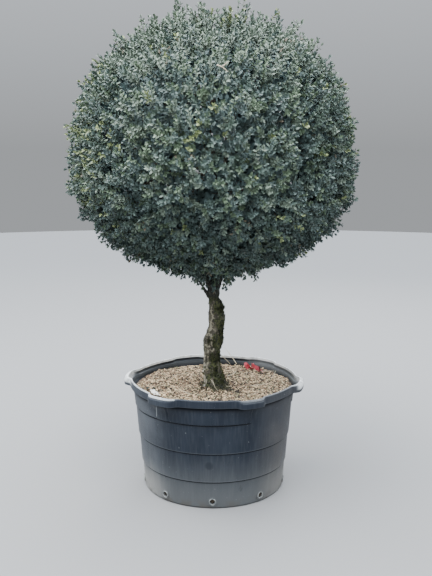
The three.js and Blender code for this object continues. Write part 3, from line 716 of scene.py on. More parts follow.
def band_rows():
    """The rows at the bottom of each band, which stands proud over a shallow groove."""
    rows = []
    for band in BAND_HEIGHTS:
        wall = wall_radius(band - 0.0005)
        groove = wall - BAND_GROOVE
        rows += [(wall, band - 0.0046), (groove, band - 0.0036), (groove, band - 0.0006)]
        rows += [(wall + 0.0024, band), (wall + 0.0037, band + 0.0007)]
        rows.append((wall_radius(band + 0.003), band + 0.003))
    return rows


def tub_profile():
    """Radius and height from the axis under the floor, round the wall and lip, to the axis on the floor."""
    rows = [(0, 0), (0.12, 0), (0.24, 0)]
    middle = wall_radius(BASE_ROUNDING) - BASE_ROUNDING
    for angle in np.radians(np.arange(0, 91, 18)):
        rows.append((middle + BASE_ROUNDING * math.sin(angle), BASE_ROUNDING * (1 - math.cos(angle))))
    heights = set(np.round(np.linspace(0.018, LIP_BOTTOM - 0.006, 40), 4))
    heights -= {h for h in heights if any(abs(h - band) < 0.006 for band in BAND_HEIGHTS)}
    rows += sorted([(wall_radius(h), h) for h in heights] + band_rows(), key=lambda row: row[1])
    wall = wall_radius(LIP_BOTTOM)
    inner = wall - TUB_WALL
    rows += [(wall, LIP_BOTTOM - 0.0012), (wall + 0.0004, 0.4812), (0.3775, LIP_HOLLOW), (0.3812, 0.4812)]
    rows += [(LIP_RADIUS - 0.0042, LIP_BOTTOM + 0.0006), (LIP_RADIUS - 0.0022, LIP_BOTTOM)]
    rows += [(LIP_RADIUS - 0.0006, LIP_BOTTOM + 0.0008), (LIP_RADIUS, LIP_BOTTOM + 0.0026)]
    rows += [(LIP_RADIUS, h) for h in (0.482, 0.490, 0.498, 0.5035)]
    rows += [(LIP_RADIUS - 0.0006, 0.5062), (LIP_RADIUS - 0.0020, 0.5080), (LIP_RADIUS - 0.0036, 0.5086)]
    rows += [(BEAD_RADIUS + 0.0008, 0.5086), (BEAD_RADIUS, 0.5095), (0.3803, 0.510), (0.3790, 0.510)]
    rows += [(0.3778, 0.5096), (LIP_TOP_INNER_RADIUS, 0.5086)]
    rows += [(0.3768, 0.504), (0.3766, 0.497), (0.3763, 0.4895), (0.3755, 0.4870), (0.3738, LEDGE_HEIGHT)]
    rows += [(lerp(0.3738, inner, 0.6), 0.4852), (inner + 0.0012, 0.4845), (inner, 0.4830)]
    rows += [(inner_radius(h), h) for h in (0.474, 0.462, 0.44, 0.36, 0.24, 0.12, 0.03, TUB_FLOOR)]
    rows += [(0.2, TUB_FLOOR), (0, TUB_FLOOR)]
    return np.array(rows)


def shaped_tub(points):
    """Bends the round tub: pilasters, grips whose lip juts out, and a rim that isn't quite round."""
    x, y, height = points.T
    radius, azimuth = np.hypot(x, y), np.degrees(np.arctan2(y, x))
    away = np.abs(wrapped(azimuth[:, None] - GRIP_AZIMUTHS))
    near = away.min(axis=1)
    grip = np.exp(-((near / GRIP_HALF_WIDTHS[away.argmin(axis=1)]) ** GRIP_SHARPNESS))
    corner = np.cos(np.minimum(near / CORNER_SPREAD, 1) * np.pi / 2) ** 2
    lip = smoothstep(radius, BEAD_RADIUS + 0.0001, BEAD_RADIUS + 0.0007)
    outside = (radius > wall_radius(height) - 0.003) * (height < LIP_BOTTOM) * (1 - lip)
    plates = sum(proud * sector(azimuth, centre, half_width) for centre, half_width, proud in PLATES)
    plates = plates * outside * (height > BAND_HEIGHTS[2] - 0.0003)
    level = TUB_BASE_RADIUS + TUB_TAPER * height / TUB_HEIGHT + 2 * BAND_STEP
    flush = sector(azimuth, *FLUSH_SECTOR) * outside * (height > BAND_HEIGHTS[2] - 0.005)
    flare = smoothstep(height, FLARE_START, TUB_HEIGHT)
    grown = flare * (grip * GRIP_FLARE + corner * CORNER_PULL) + plates + flush * (level - radius)
    grown = lerp(grown, grip * (GRIP_FLARE + GRIP_LIP) + corner * CORNER_PULL, lip)
    warp = 0.0012 * np.sin(np.radians(2 * azimuth + 40)) + 0.0008 * np.sin(np.radians(5 * azimuth))
    grown = grown + warp * smoothstep(height, 0.05, 0.5)
    droop = lerp(BEAD_RISE, GRIP_DROOP, smoothstep(radius, BEAD_RADIUS + 0.001, LIP_RADIUS - 0.001))
    droop = droop * grip * lip * smoothstep(height, LIP_BOTTOM, TUB_HEIGHT)
    share = np.where(radius > 0.01, (radius + grown) / np.maximum(radius, 1e-6), 1)
    return np.stack([x * share, y * share, height - droop], -1)


def tub_angles():
    """Even angles, and a close pair at each side of each plate."""
    even = np.linspace(-180, 180, TUB_SIDES, endpoint=False)
    turns = 360 / PLATE_REPEATS * np.arange(PLATE_REPEATS)
    sides = [centre + side * half for centre, half, *_ in (*PLATES, FLUSH_SECTOR) for side in (-1, 1)]
    pairs = [turn + side + part for turn in turns for side in sides for part in (-PLATE_SLOPE, PLATE_SLOPE)]
    corners = wrapped(np.array(pairs))
    clear = np.min(np.abs(wrapped(even[:, None] - corners)), axis=1) > 0.5
    return np.radians(np.sort(np.concatenate([even[clear], corners])))


def turned(profile, angle):
    """Points and faces of a profile turned round the Z axis, whose first and last points lie on it."""
    sides = len(angle)
    inner = profile[1:-1]
    points = polar(inner[:, :1], angle, inner[:, 1:]).reshape(-1, 3)
    last = len(points)
    points = np.concatenate([points, [[0, 0, profile[0, 1]], [0, 0, profile[-1, 1]]]])
    side = np.arange(sides)
    after = (side + 1) % sides
    top = (len(inner) - 1) * sides
    foot = np.stack([np.full(sides, last), after, side], -1)
    tip = np.stack([np.full(sides, last + 1), top + side, top + after], -1)
    return points, ring_faces(len(inner), sides), np.concatenate([foot, tip])


def drain_tools(name, radius, inner, outer):
    """One object of all the drain holes' cylinders between two distances from the axis."""
    paths = polar(np.array((inner, outer)), DRAIN_BEARINGS, DRAIN_HEIGHT)
    return mesh_object(name, *tubes(paths, radius, 28), smooth=False)


def boolean(made, tool, operation):
    cut = made.modifiers.new("join", "BOOLEAN")
    cut.operation = operation
    cut.object = tool
    cut.solver = "EXACT"
    applied(made)
    bpy.data.objects.remove(tool)


def make_tub():
    points, walls, caps = turned(tub_profile(), tub_angles())
    tub = mesh_object("nursery_tub", shaped_tub(points), walls, caps)
    wall = wall_radius(DRAIN_HEIGHT)
    boolean(tub, drain_tools("bosses", BOSS_RADIUS, wall - TUB_WALL / 2, wall + BOSS_PROUD), "UNION")
    boolean(tub, drain_tools("holes", DRAIN_RADIUS, wall - 3 * TUB_WALL, wall + 3 * BOSS_PROUD), "DIFFERENCE")
    tub.data.set_sharp_from_angle(angle=math.radians(38))
    finished(tub, tub_material(), "tub", "tub")
    make_drain_rims()


def make_drain_rims():
    """Worn pale edges round the drain holes."""
    turn = np.linspace(0, 2 * np.pi, 33)
    radius = wall_radius(DRAIN_HEIGHT) + BOSS_PROUD - 0.0004
    paths = polar(radius, DRAIN_BEARINGS, DRAIN_HEIGHT + DRAIN_RIM_RADIUS * np.sin(turn))
    paths = paths + polar(DRAIN_RIM_RADIUS * np.cos(turn), DRAIN_BEARINGS + np.pi / 2)
    worn = speckled("worn_rim_plastic", 0.7, (0.09, 0.10, 0.10), (0.26, 0.27, 0.255), 90, 4, 0.35, 0.65)
    finished(mesh_object("drain_rims", *tubes(paths, DRAIN_RIM_THICKNESS, 8)), worn, "tub")


# Potting mix


def mix_height(points):
    """The mix's level at places across the tub."""
    flat = np.pad(points[:, :2], ((0, 0), (0, 1)))
    rise = 0.0035 * noise(flat, 0.09, 3) + 0.0022 * noise(flat, 0.02, 4) + 0.0018 * noise(flat, 0.008, 5)
    around = length(flat)
    return MIX_LEVEL + rise + 0.006 * hill(around / 0.085) - 0.003 * smoothstep(around, 0.31, 0.366)


def disc_grid(cells, radius):
    """A square grid of points bent into a disc, with its rim's indices in order."""
    line = np.linspace(-1, 1, cells + 1)
    x, y = np.meshgrid(line, line, indexing="ij")
    big = np.maximum(np.abs(x), np.abs(y))
    share = lerp(1, big / np.maximum(np.hypot(x, y), 1e-9), big)
    points = np.stack([x * share, y * share], -1).reshape(-1, 2) * radius
    index = np.arange(x.size).reshape(x.shape)
    rim = np.concatenate([index[:-1, 0], index[-1, :-1], index[:0:-1, -1], index[0, :0:-1]])
    return points, grid_faces(*x.shape), rim


def make_mix():
    flat, faces, rim = disc_grid(MIX_CELLS, inner_radius(MIX_LEVEL) - 0.0008)
    top = np.column_stack([flat, mix_height(flat)])
    foot = unit(flat[rim]) * (inner_radius(TUB_FLOOR) - 0.0008)
    foot = np.column_stack([foot, np.full(len(rim), TUB_FLOOR + 0.0005)])
    low = len(top) + np.arange(len(rim))
    walls = np.stack([rim, low, np.roll(low, -1), np.roll(rim, -1)], -1)
    made = mesh_object("potting_mix_bed", np.concatenate([top, foot]), faces, walls, low[::-1][None])
    finished(made, mix_material(), "mix", "potting_mix")


def chips():
    """Points of loose bark shards that lie on the mix, each a flattened double wedge."""
    around = np.sqrt(rng.random(CHIP_COUNT)) * (inner_radius(MIX_LEVEL) - 0.012)
    place = polar(around, rng.random(CHIP_COUNT) * 2 * np.pi)
    place[:, 2] = mix_height(place) + CHIP_LIFT * rng.random(CHIP_COUNT)
    place = place[np.hypot(place[:, 0] - 0.005, place[:, 1] + 0.014) > 0.052]
    count = len(place)
    turn, tilt = rng.random(count) * 2 * np.pi, rng.normal(0, 0.3, count)
    along = polar(np.cos(tilt), turn, np.sin(tilt))
    across = unit(np.cross(unit(rng.normal(0, 0.3, (count, 3)) + UP), along))
    size = CHIP_LENGTH * rng.uniform(0.35, 1.5, (count, 1))
    broad = CHIP_WIDTH * rng.uniform(0.45, 1.6, (count, 1))
    axes = along * size, across * broad, np.cross(along, across) * broad * 0.7
    return set_out(place, axes, rng.normal(0, 0.09, (count, 6, 3)) + CHIP_SHAPE)


def make_chips():
    points = chips()
    dealt = rng.choice(len(CHIP_TONES), len(points), p=[share for *_, share in CHIP_TONES])
    middle = points.mean(axis=1)
    # Chips near the trunk's foot are dealt dark for moss and painted shade, and some elsewhere in patches by
    # noise.
    beside = np.hypot(middle[:, 0] - 0.012, middle[:, 1] + 0.052)
    shaded = 0.75 * hill(beside / 0.085) + 0.30 * (noise(middle, 0.035, 6) > 0.58)
    dealt[rng.random(len(points)) < shaded] = DARK_CHIPS
    for i, (name, colour, _) in enumerate(CHIP_TONES):
        mine = points[dealt == i]
        made = mesh_object(name, mine, repeated(CHIP_FACES, len(mine), 6), smooth=False)
        finished(made, Paint(name, colour, 0.9).material, "mix")
    make_foot_crumbs()


def make_foot_crumbs():
    """Dark mossy crumbs heaped round the trunk's foot, most of them in front: moss, and painted shade at the
    foot.
    """
    bearing = rng.normal(-np.pi / 2, 1.15, FOOT_CRUMB_COUNT)
    around = 0.046 + 0.075 * rng.random(FOOT_CRUMB_COUNT) ** 1.1 * (0.55 - 0.45 * np.sin(bearing))
    ring = polar(around, bearing) - (0, 0.014, 0)
    ring[:, 2] = mix_height(ring) + 0.006 * hill((around - 0.046) / 0.02) * rng.random(FOOT_CRUMB_COUNT)
    heap = np.pad(rng.normal(0, 0.024, (HEAP_CRUMB_COUNT, 2)), ((0, 0), (0, 1))) + (0.020, -0.074, 0)
    away = np.hypot(heap[:, 0] - 0.020, heap[:, 1] + 0.068) / 0.045
    heap[:, 2] = mix_height(heap) + 0.016 * hill(away) * rng.random(HEAP_CRUMB_COUNT)
    place = np.concatenate([ring, heap])[:, None]
    corners = unit(rng.normal(0, 1, (len(place), 4, 3)))
    points = place + corners * rng.uniform(0.0025, 0.0064, (len(place), 1, 1))
    made = mesh_object("foot_crumbs", points, repeated(CRUMB_FACES, len(place), 4), smooth=False)
    green = speckled("mossy_crumbs", 0.95, (0.016, 0.018, 0.009), (0.070, 0.066, 0.032), 70, 3, 0.4, 0.62)
    finished(made, green, "mix")


def make_litter():
    """What has blown into the tub: straws, a crumpled scrap of red ribbon and dry leaves."""
    start, end, bend = (np.array(part) for part in zip(*STRAWS))
    t = np.linspace(0, 1, 14)[None, :, None]
    rise = 0.3 * UP + np.cross(unit(end - start), UP)
    paths = lerp(start[:, None], end[:, None], t) + (rise * bend[:, None])[:, None] * np.sin(np.pi * t)
    thick = np.full(paths.shape[:2], 0.0008)
    thick[0, :8] = 0.0019
    thick[4:6] = 0.0006
    straw = speckled("dry_straw", 0.6, (0.50, 0.44, 0.30), (0.72, 0.65, 0.48), 120, 3)
    finished(mesh_object("straws", *tubes(paths, thick, 6)), straw, "mix")
    make_ribbon()
    make_dry_leaves()
    make_fallen_leaves()
    make_bleached_leaf()


def make_ribbon():
    t = np.linspace(0, 1, 90)
    x = 0.152 + 0.086 * t + 0.013 * np.sin(19 * t)
    y = 0.266 - 0.068 * t + 0.016 * np.cos(23 * t)
    z = 0.4805 + 0.017 * hill((t - 0.52) / 0.14) + 0.006 * np.sin(31 * t + 0.6) + 0.003 * np.sin(67 * t)
    roll = 1.3 * np.sin(13 * t) + 0.7 * np.sin(37 * t + 1)
    wide = np.stack([0.35 * np.sin(17 * t), np.cos(roll), np.sin(roll)], -1) * RIBBON_HALF_WIDTH
    rows = np.linspace(-1, 1, 5)
    crease = 0.0022 * np.sin(41 * t)[:, None] * np.cos(3 * rows)
    points = np.stack([x, y, z], -1)[:, None] + wide[:, None] * rows[:, None] + UP * crease[..., None]
    points[..., 2] = np.maximum(points[..., 2], RIBBON_LOWEST)
    paint = Paint("red_ribbon", (0.42, 0.030, 0.045), 0.45)
    paint.measure()
    paint.coat((0.70, 0.095, 0.13), paint.noise(70, 4))
    # Painted shade: the ribbon's right end is painted darker.
    paint.coat((0.16, 0.012, 0.026), (paint.x, 0.205, 0.228, 0, 0.8))
    finished(mesh_object("ribbon", points, grid_faces(len(t), len(rows))), paint.finish())


def make_dry_leaves():
    """Dry leaves strewn over the mix."""
    around = np.sqrt(rng.random(DRY_LEAF_COUNT)) * 0.34
    place = polar(around, rng.random(DRY_LEAF_COUNT) * 2 * np.pi)
    place = place[length(place) > 0.075]
    place[:, 2] = mix_height(place) + 0.0045
    turn = rng.random(len(place)) * 2 * np.pi
    axis = unit(polar(1, turn, rng.uniform(0, 0.3, len(place))))
    upper = unit(rng.normal(0, 0.25, place.shape) + UP)
    leaves = leaf_mesh(place, axis, upper, rng.uniform(0.8, 1.2, len(place)))
    dry = speckled("dry_leaf", 0.7, (0.20, 0.12, 0.06), (0.45, 0.33, 0.20), 60, 3)
    finished(mesh_object("dry_leaves", *leaves), dry, "mix")


def make_fallen_leaves():
    """Four dark leaves that lie together by the front rim."""
    place, axis = (np.array(part) for part in zip(*FALLEN_LEAVES))
    axis = unit(axis)
    leaves = leaf_mesh(place, axis, UP + 0.3 * axis[:, ::-1], np.full(len(place), 1.25))
    dark = Paint("fallen_leaf", (0.010, 0.017, 0.010), 0.9).material
    finished(mesh_object("fallen_leaves", *leaves), dark, "mix")


def make_bleached_leaf():
    """A long pale leaf, curled up at its edges, that lies by the front rim."""
    along, across = np.meshgrid(np.linspace(0, 1, 17), np.linspace(-1, 1, 7), indexing="ij")
    ragged = 1 + 0.22 * np.sin(23 * along + 2 * across) * np.abs(across)
    half = 0.0125 * np.sin(np.pi * np.clip(along, 0.02, 0.98)) ** 0.55 * ragged
    curl = 0.006 * across**2 + 0.004 * np.sin(7 * along) + 0.0015 * np.sin(31 * along) * across
    start, end = np.array(BLEACHED_LEAF)
    side = np.cross(UP, unit(end - start))
    points = start + (end - start) * along[..., None] + side * (across * half)[..., None]
    bleached = speckled("bleached_leaf", 0.6, (0.55, 0.53, 0.45), (0.85, 0.84, 0.77), 80, 3)
    finished(mesh_object("bleached_leaf", points + UP * curl[..., None], grid_faces(*along.shape)), bleached)


# Trunk and boughs


def trunk_place(t):
    t = np.asarray(t, float)
    swing = 0.014 * np.sin(2 * np.pi * 1.025 * t)
    sway = 0.006 * np.sin(2 * np.pi * 0.8 * t)
    x = 0.005 - 0.003 * t - swing * (1 - 0.45 * t)
    return np.stack([x, sway - 0.014 * (1 - t) ** 2, lerp(TRUNK_FOOT, FORK_HEIGHT, t)], -1)


def trunk_radius(t, angle):
    height = lerp(TRUNK_FOOT, FORK_HEIGHT, t)
    rise = height - TRUNK_FOOT
    flare = ROOT_FLARE * np.exp(-rise / ROOT_FLARE_REACH)
    lobes = 1 + ROOT_LOBE_DEPTH * np.exp(-rise / (2 * ROOT_FLARE_REACH)) * np.cos(ROOT_LOBES * angle)
    swells = sum(swell * hill((height - h) / reach) for h, swell, reach in TRUNK_BULGES)
    closing = 1 - FORK_CLOSED * smoothstep(height, FORK_HEIGHT - FORK_CLOSING, FORK_HEIGHT)
    middle, swell, reach = TRUNK_SIDE_SWELL
    leftward = np.maximum(-np.cos(angle), 0) ** 2 - 0.3 * np.maximum(np.cos(angle), 0) ** 2
    flare = flare + swell * hill((height - middle) / reach) * leftward
    return (lerp(TRUNK_FOOT_RADIUS, TRUNK_TOP_RADIUS, t) + flare + swells) * lobes * closing


def bough_place(bough, t):
    _, azimuth, spread, top = bough
    t = np.asarray(t, float)
    fork, bearing = trunk_place(1), math.radians(azimuth)
    out = spread * np.sign(t) * np.abs(t) ** BOUGH_SWEEP
    curl = BOUGH_CURL * spread * t * np.sin(2 * np.pi * t)
    x = fork[0] + out * math.cos(bearing) - curl * math.sin(bearing)
    y = fork[1] + out * math.sin(bearing) + curl * math.cos(bearing)
    return np.stack([x, y, lerp(BOUGH_FOOT_HEIGHT, top, t)], -1)


def bough_cut(bough):
    return (BOUGH_CUT_HEIGHT - BOUGH_FOOT_HEIGHT) / (bough[3] - BOUGH_FOOT_HEIGHT)


def bough_end(bough):
    """How far along a bough its tip lies."""
    t = np.arange(0.5, 1.2, 0.002)
    outward = bough_place(bough, t) - CROWN_CENTRE
    inside = core_radius(unit(outward)) - CORE_THICKNESS
    return t[np.argmax(length(outward) > inside + BOUGH_SEATED)]


def roughened(made, lump, ridge, fine):
    """Moves a bark mesh in and out by lumps, long ridges and fine grain."""
    points = of_vertices(made.data, "co")
    shift = lump * noise(points, 0.028, 11) + ridge * noise(points, (0.008, 0.008, 0.045), 12)
    shift += 4 * lump * np.maximum(noise(points, 0.019, 15) - 0.42, 0)
    shift += ridge * 0.6 * noise(points, (0.005, 0.005, 0.018), 13) + fine * noise(points, 0.004, 14)
    foot = smoothstep(points[:, 2], TRUNK_FOOT, TRUNK_FOOT + 0.01)
    moved = points + of_vertices(made.data, "normal") * (shift * foot)[:, None]
    made.data.vertices.foreach_set("co", moved.astype(np.float32).ravel())
    made.data.update()


def level_tube(place, radius, t, sides):
    """A tube whose sections are level."""
    angle = circle(sides)
    points = (place(t)[:, None] + polar(radius(t[:, None], angle), angle)).reshape(-1, 3)
    ends = np.stack([np.arange(sides)[::-1], len(points) - sides + np.arange(sides)])
    return points, ring_faces(len(t), sides), ends


def joined(parts):
    """Points, quads and end faces of several tubes as one."""
    parts = list(parts)
    starts = np.cumsum([0] + [len(p[0]) for p in parts[:-1]])
    points = np.concatenate([p[0] for p in parts])
    walls = np.concatenate([p[1] + start for p, start in zip(parts, starts)])
    return points, walls, [p[2] + start for p, start in zip(parts, starts)]


def make_trunk():
    stem = level_tube(trunk_place, trunk_radius, np.linspace(0, 1, 120), 60)
    feet = []
    for bough in BOUGHS:
        t = np.linspace(0, bough_cut(bough), 24)
        feet.append(tubes(bough_place(bough, t)[None], lerp(BOUGH_FOOT_RADIUS, BOUGH_TIP_RADIUS, t), 24))
    t = np.linspace(0, 1, 24)
    sideways = np.stack([t**BRANCH_SWEEP, t, t], -1) * BRANCH_RUN + BRANCH_FOOT
    branch = tubes(sideways[None], lerp(0.008, 0.005, t), 20)
    points, walls, ends = joined([stem, branch, *feet])
    trunk = mesh_object("trunk_bark", points, walls, *ends)
    remesh = trunk.modifiers.new("skin", "REMESH")
    remesh.mode, remesh.voxel_size = "VOXEL", BARK_VOXEL
    soften = trunk.modifiers.new("soften", "SMOOTH")
    soften.factor, soften.iterations = 0.5, 6
    applied(trunk)
    roughened(trunk, 0.0036, 0.0020, 0.0008)
    trunk.data.shade_smooth()
    bark = bark_material("mossy_bark", 0.95, (0.105, 0.094, 0.066), (0.024, 0.021, 0.014))
    finished(trunk, bark, "bark", "trunk")
    make_moss(of_vertices(trunk.data, "co"), of_vertices(trunk.data, "normal"))


def make_moss(points, normals):
    """Tufts of moss on the trunk's shaded side and in its hollows."""
    wanted = noise(points, 0.022, 41) + 0.7 * noise(points, 0.006, 42) + 0.55 * normals[:, 0]
    suitable = np.flatnonzero((wanted > 0.2) & (points[:, 2] < 0.87))
    chosen = rng.choice(suitable, MOSS_COUNT)
    place, out = points[chosen], normals[chosen]
    axis = unit(out + rng.normal(0, 0.55, place.shape) + (0, 0, 0.35))
    across = unit(np.cross(axis, rng.normal(0, 1, place.shape)))
    long = rng.uniform(0.0035, 0.0085, (MOSS_COUNT, 1))
    foot = place - out * 0.0008
    bent = foot + axis * long * 0.55 + np.cross(axis, across) * 0.0012
    points = np.stack([foot - across * 0.0014, foot + across * 0.0014, foot + axis * long, bent], 1)
    green = speckled("moss", 0.9, (0.010, 0.014, 0.005), (0.070, 0.080, 0.024), 60, 4, 0.38, 0.62)
    finished(mesh_object("moss", points, repeated(MOSS_FACES, MOSS_COUNT, 4)), green, "bark")


def make_boughs():
    bark = bark_material("bough_bark", 0.5, (0.13, 0.115, 0.085), (0.035, 0.03, 0.022))
    for bough in BOUGHS:
        t = np.linspace(bough_cut(bough) - 0.012, bough_end(bough), 130)
        radii = lerp(BOUGH_FOOT_RADIUS, BOUGH_TIP_RADIUS, t)
        points, walls, ends = tubes(bough_place(bough, t)[None], radii, 18)
        made = mesh_object(bough[0] + "_bark", points, walls, ends)
        roughened(made, 0.0016, 0.0010, 0.0004)
        finished(made, bark, "bark", bough[0])


# Crown


def crown_radius(way):
    """The distance from the crown's centre to its outline in each direction."""
    x, y, z = way[..., 0], way[..., 1], way[..., 2]
    around = np.hypot(x, y) / CROWN_HALF_WIDTH
    upright = np.abs(z) / np.where(z > 0, CROWN_RISE, CROWN_DROP)
    power = np.where(z > 0, CROWN_SQUARENESS_ABOVE, CROWN_SQUARENESS_BELOW)
    smooth = (around**power + upright**power) ** (-1 / power)
    azimuth = np.arctan2(y, x)
    waves = np.sin(3 * azimuth + 0.7) + 0.8 * np.sin(2 * azimuth + 4 * z - 1.1)
    return smooth * (1 + CROWN_LUMP * ((1 - z * z) * waves + 0.6 * np.sin(5 * z + 1.9)))


def on_crown(px, py):
    """The place on the crown's outline that the camera sees at a pixel, from the crown's centre."""
    right = (px - PICTURE_CENTRE[0]) / PICTURE_FOCUS
    up = (PICTURE_CENTRE[1] - py) / PICTURE_FOCUS
    ahead = math.cos(PITCH) + up * math.sin(PITCH)
    ray = np.array((right, ahead, up * math.cos(PITCH) - math.sin(PITCH)))
    places = EYE + np.arange(2.4, 4.2, 0.002)[:, None] * ray - CROWN_CENTRE
    return places[np.argmax(length(places) < crown_radius(unit(places)))]


def core_radius(way):
    below = smoothstep(-way[..., 2], 0.2, 0.9)
    return crown_radius(way) - lerp(CORE_DEPTH, CORE_DEPTH_BELOW, below)


def even_directions(count, jitter):
    """Even directions round the crown by the golden angle, each turned a little, with none in its mouth."""
    i = np.arange(count)
    z = 1 - (2 * i + 1) / count
    ring = np.sqrt(1 - z * z)
    golden = np.pi * (3 - np.sqrt(5)) * i
    way = polar(ring, golden, z)
    way = unit(way + rng.normal(0, jitter, way.shape))
    mouth = (way[:, 2] < 0) & (np.hypot(way[:, 0], way[:, 1]) * CROWN_DROP < CORE_MOUTH_RADIUS)
    return way[~mouth]


def nearest(targets, starts, outer_cost=0.0):
    """For each target the nearest start and its distance. One further out than the target costs more."""
    out = length(starts - CROWN_CENTRE)
    index, least = [], []
    for part in np.array_split(targets, 1 + len(targets) * len(starts) // MOST_PAIRS):
        beyond = out + 0.05 - length(part - CROWN_CENTRE)[:, None]
        gap = length(part[:, None] - starts) + outer_cost * np.maximum(beyond, 0)
        index.append(gap.argmin(axis=1))
        least.append(gap.min(axis=1))
    return np.concatenate(index), np.concatenate(least)


def along(paths, shares):
    """Places on paths and their directions at shares of each path's length."""
    index = np.clip(np.round(np.array(shares) * (paths.shape[1] - 1)).astype(int), 0, paths.shape[1] - 1)
    ways = unit(np.gradient(paths, axis=1))
    return paths[:, index].reshape(-1, 3), ways[:, index].reshape(-1, 3)


def grow(ends, end_ways, starts, start_ways, places, lean):
    """A path to each end from the start that suits it, leaving along the start's limb and towards the end."""
    chosen, _ = nearest(ends, starts, OUTER_COST)
    start = starts[chosen]
    leave = unit(unit(ends - start) + lean * start_ways[chosen])
    return curves(start, leave, ends, end_ways, places)


def skeleton():
    """Paths of the limbs and branchlets that carry the shoots."""
    t = np.linspace(0, 1, 40)
    boughs = np.stack([bough_place(b, lerp(bough_cut(b) + 0.04, bough_end(b), t)) for b in BOUGHS])
    starts, ways = along(boughs, np.linspace(0.05, 1, 20))
    outward = even_directions(LIMB_COUNT, 0.05)
    ends = CROWN_CENTRE + outward * (crown_radius(outward) * rng.uniform(0.56, 0.72, len(outward)))[:, None]
    limbs = grow(ends, unit(outward + (0, 0, 0.25)), starts, ways, 12, 0.5)
    starts, ways = along(limbs, (0.3, 0.45, 0.6, 0.75, 0.9, 1))
    outward = even_directions(BRANCHLET_COUNT, 0.012)
    depth = rng.uniform(0.012, 0.040, len(outward)) + hollows(outward)
    ends = CROWN_CENTRE + outward * (core_radius(outward) - depth)[:, None]
    branchlets = grow(ends, unit(outward + (0, 0, 0.2)), starts, ways, 7, 0.4)
    return limbs, branchlets


def hollows(outward):
    """How deep the hollows between the crown's masses are: the photo's own, and others by noise."""
    depth = HOLLOW_DEPTH * np.maximum(noise(outward, HOLLOW_SIZE, 22) - 0.53, 0)
    for px, py, most in TROUGHS:
        away = length(outward - unit(on_crown(px, py)))
        depth = np.maximum(depth, most * hill(away / TROUGH_WIDTH))
    return depth


def shoot_ends():
    """Tips of the shoots, their directions and tufts: even over the outline, and long ones beyond it."""
    outward = even_directions(SHOOT_COUNT, 0.009)
    centres = even_directions(TUFT_COUNT, 0.022)
    tuft, gap = nearest(outward, centres)
    outward = unit(outward + TUFT_PULL * (centres[tuft] - outward))
    relief = TUFT_RELIEF * rng.normal(0, 1, len(centres)).clip(-1.6, 1.5)[tuft] - TUFT_DOME * gap**2
    relief += SWELL_RELIEF * noise(outward, 0.25, 21)
    relief += SHOOT_RELIEF * rng.normal(0, 1, len(outward)).clip(-2, 1.6)
    relief -= hollows(outward) + SIDE_TRIM * smoothstep(outward[:, 0], 0.4, 0.95)
    tips = outward * (crown_radius(outward) - 0.010 + relief)[:, None]
    lean = 0.45 * (outward - centres[tuft]) / np.maximum(gap.max(), 1e-6)
    lean[:, 2] += rng.uniform(0.4, 1.3, len(outward)) * smoothstep(outward[:, 2], -1.0, -0.1)
    ways = [unit(outward + lean + rng.normal(0, 0.18, outward.shape))]
    tufts = [tuft]
    for i, (*way, above) in enumerate(LONG_SHOOTS):
        extra, turn = UPPER_SHOOTS if way[2] > 0 else LOWER_SHOOTS
        long = shaggy(way, above + extra)
        tips = np.concatenate([tips, long])
        ways.append(unit(unit(long) * 0.5 + (0, 0, turn)))
        tufts.append(np.full(len(long), len(centres) + i))
    return CROWN_CENTRE + tips, np.concatenate(ways), np.concatenate(tufts)


def shaggy(way, above):
    """A few tips round a long shoot's own, each a little lower than the last."""
    drop = np.array((0, 0.006, 0.013, 0.020, 0.028, 0.036, 0.044))
    spread = rng.normal(0, 0.021, (len(drop), 3)) * (drop > 0)[:, None]
    outward = unit(unit(np.array(way)) + spread)
    return outward * (crown_radius(outward) + above - drop - 0.012)[:, None]


def leaf_frames(paths, pairs, first, tips):
    """Where each leaf starts, its direction and its upper side's, in opposite pairs along the shoots."""
    count = len(paths)
    pair = np.arange(pairs)
    share = lerp(first, 0.97, pair / (pairs - 1))
    spot = share * (paths.shape[1] - 1)
    low = np.minimum(spot.astype(int), paths.shape[1] - 2)
    part = (spot - low)[None, :, None]
    place = paths[:, low] * (1 - part) + paths[:, low + 1] * part
    way = unit(paths[:, low + 1] - paths[:, low])
    helper = unit(np.cross(way, np.array((0.31, 0.17, 0.94))))
    beside = np.cross(way, helper)
    side = rng.random((count, 1)) * np.pi + pair * np.pi / 2 + rng.normal(0, 0.25, (count, pairs))
    sides = np.stack([side, side + np.pi], -1)
    opening = np.radians(lerp(*LEAF_OPENINGS, pair / (pairs - 1)))[None, :, None]
    opening = opening + rng.normal(0, 0.22, sides.shape)
    radial = helper[:, :, None] * np.cos(sides)[..., None] + beside[:, :, None] * np.sin(sides)[..., None]
    axis = way[:, :, None] * np.cos(opening)[..., None] + radial * np.sin(opening)[..., None]
    upper = way[:, :, None] * np.sin(opening)[..., None] - radial * np.cos(opening)[..., None]
    size = rng.uniform(0.78, 1.12, sides.shape) * lerp(1.0, 0.86, pair / pairs)[None, :, None]
    tip_way = unit(way[:, -1:] + rng.normal(0, 0.34, (count, tips, 3)))
    tip_upper = unit(np.cross(tip_way, rng.normal(0, 1, (count, tips, 3))))
    tip_size = rng.uniform(0.55, 0.85, (count, tips))
    place = np.broadcast_to(place[:, :, None], axis.shape)
    tip_place = np.broadcast_to(paths[:, -1:], tip_way.shape)
    frames = [
        np.concatenate([paired.reshape(count, -1, 3), last], 1)
        for paired, last in ((place, tip_place), (axis, tip_way), (upper, tip_upper))
    ]
    return (*frames, np.concatenate([size.reshape(count, -1), tip_size], 1))


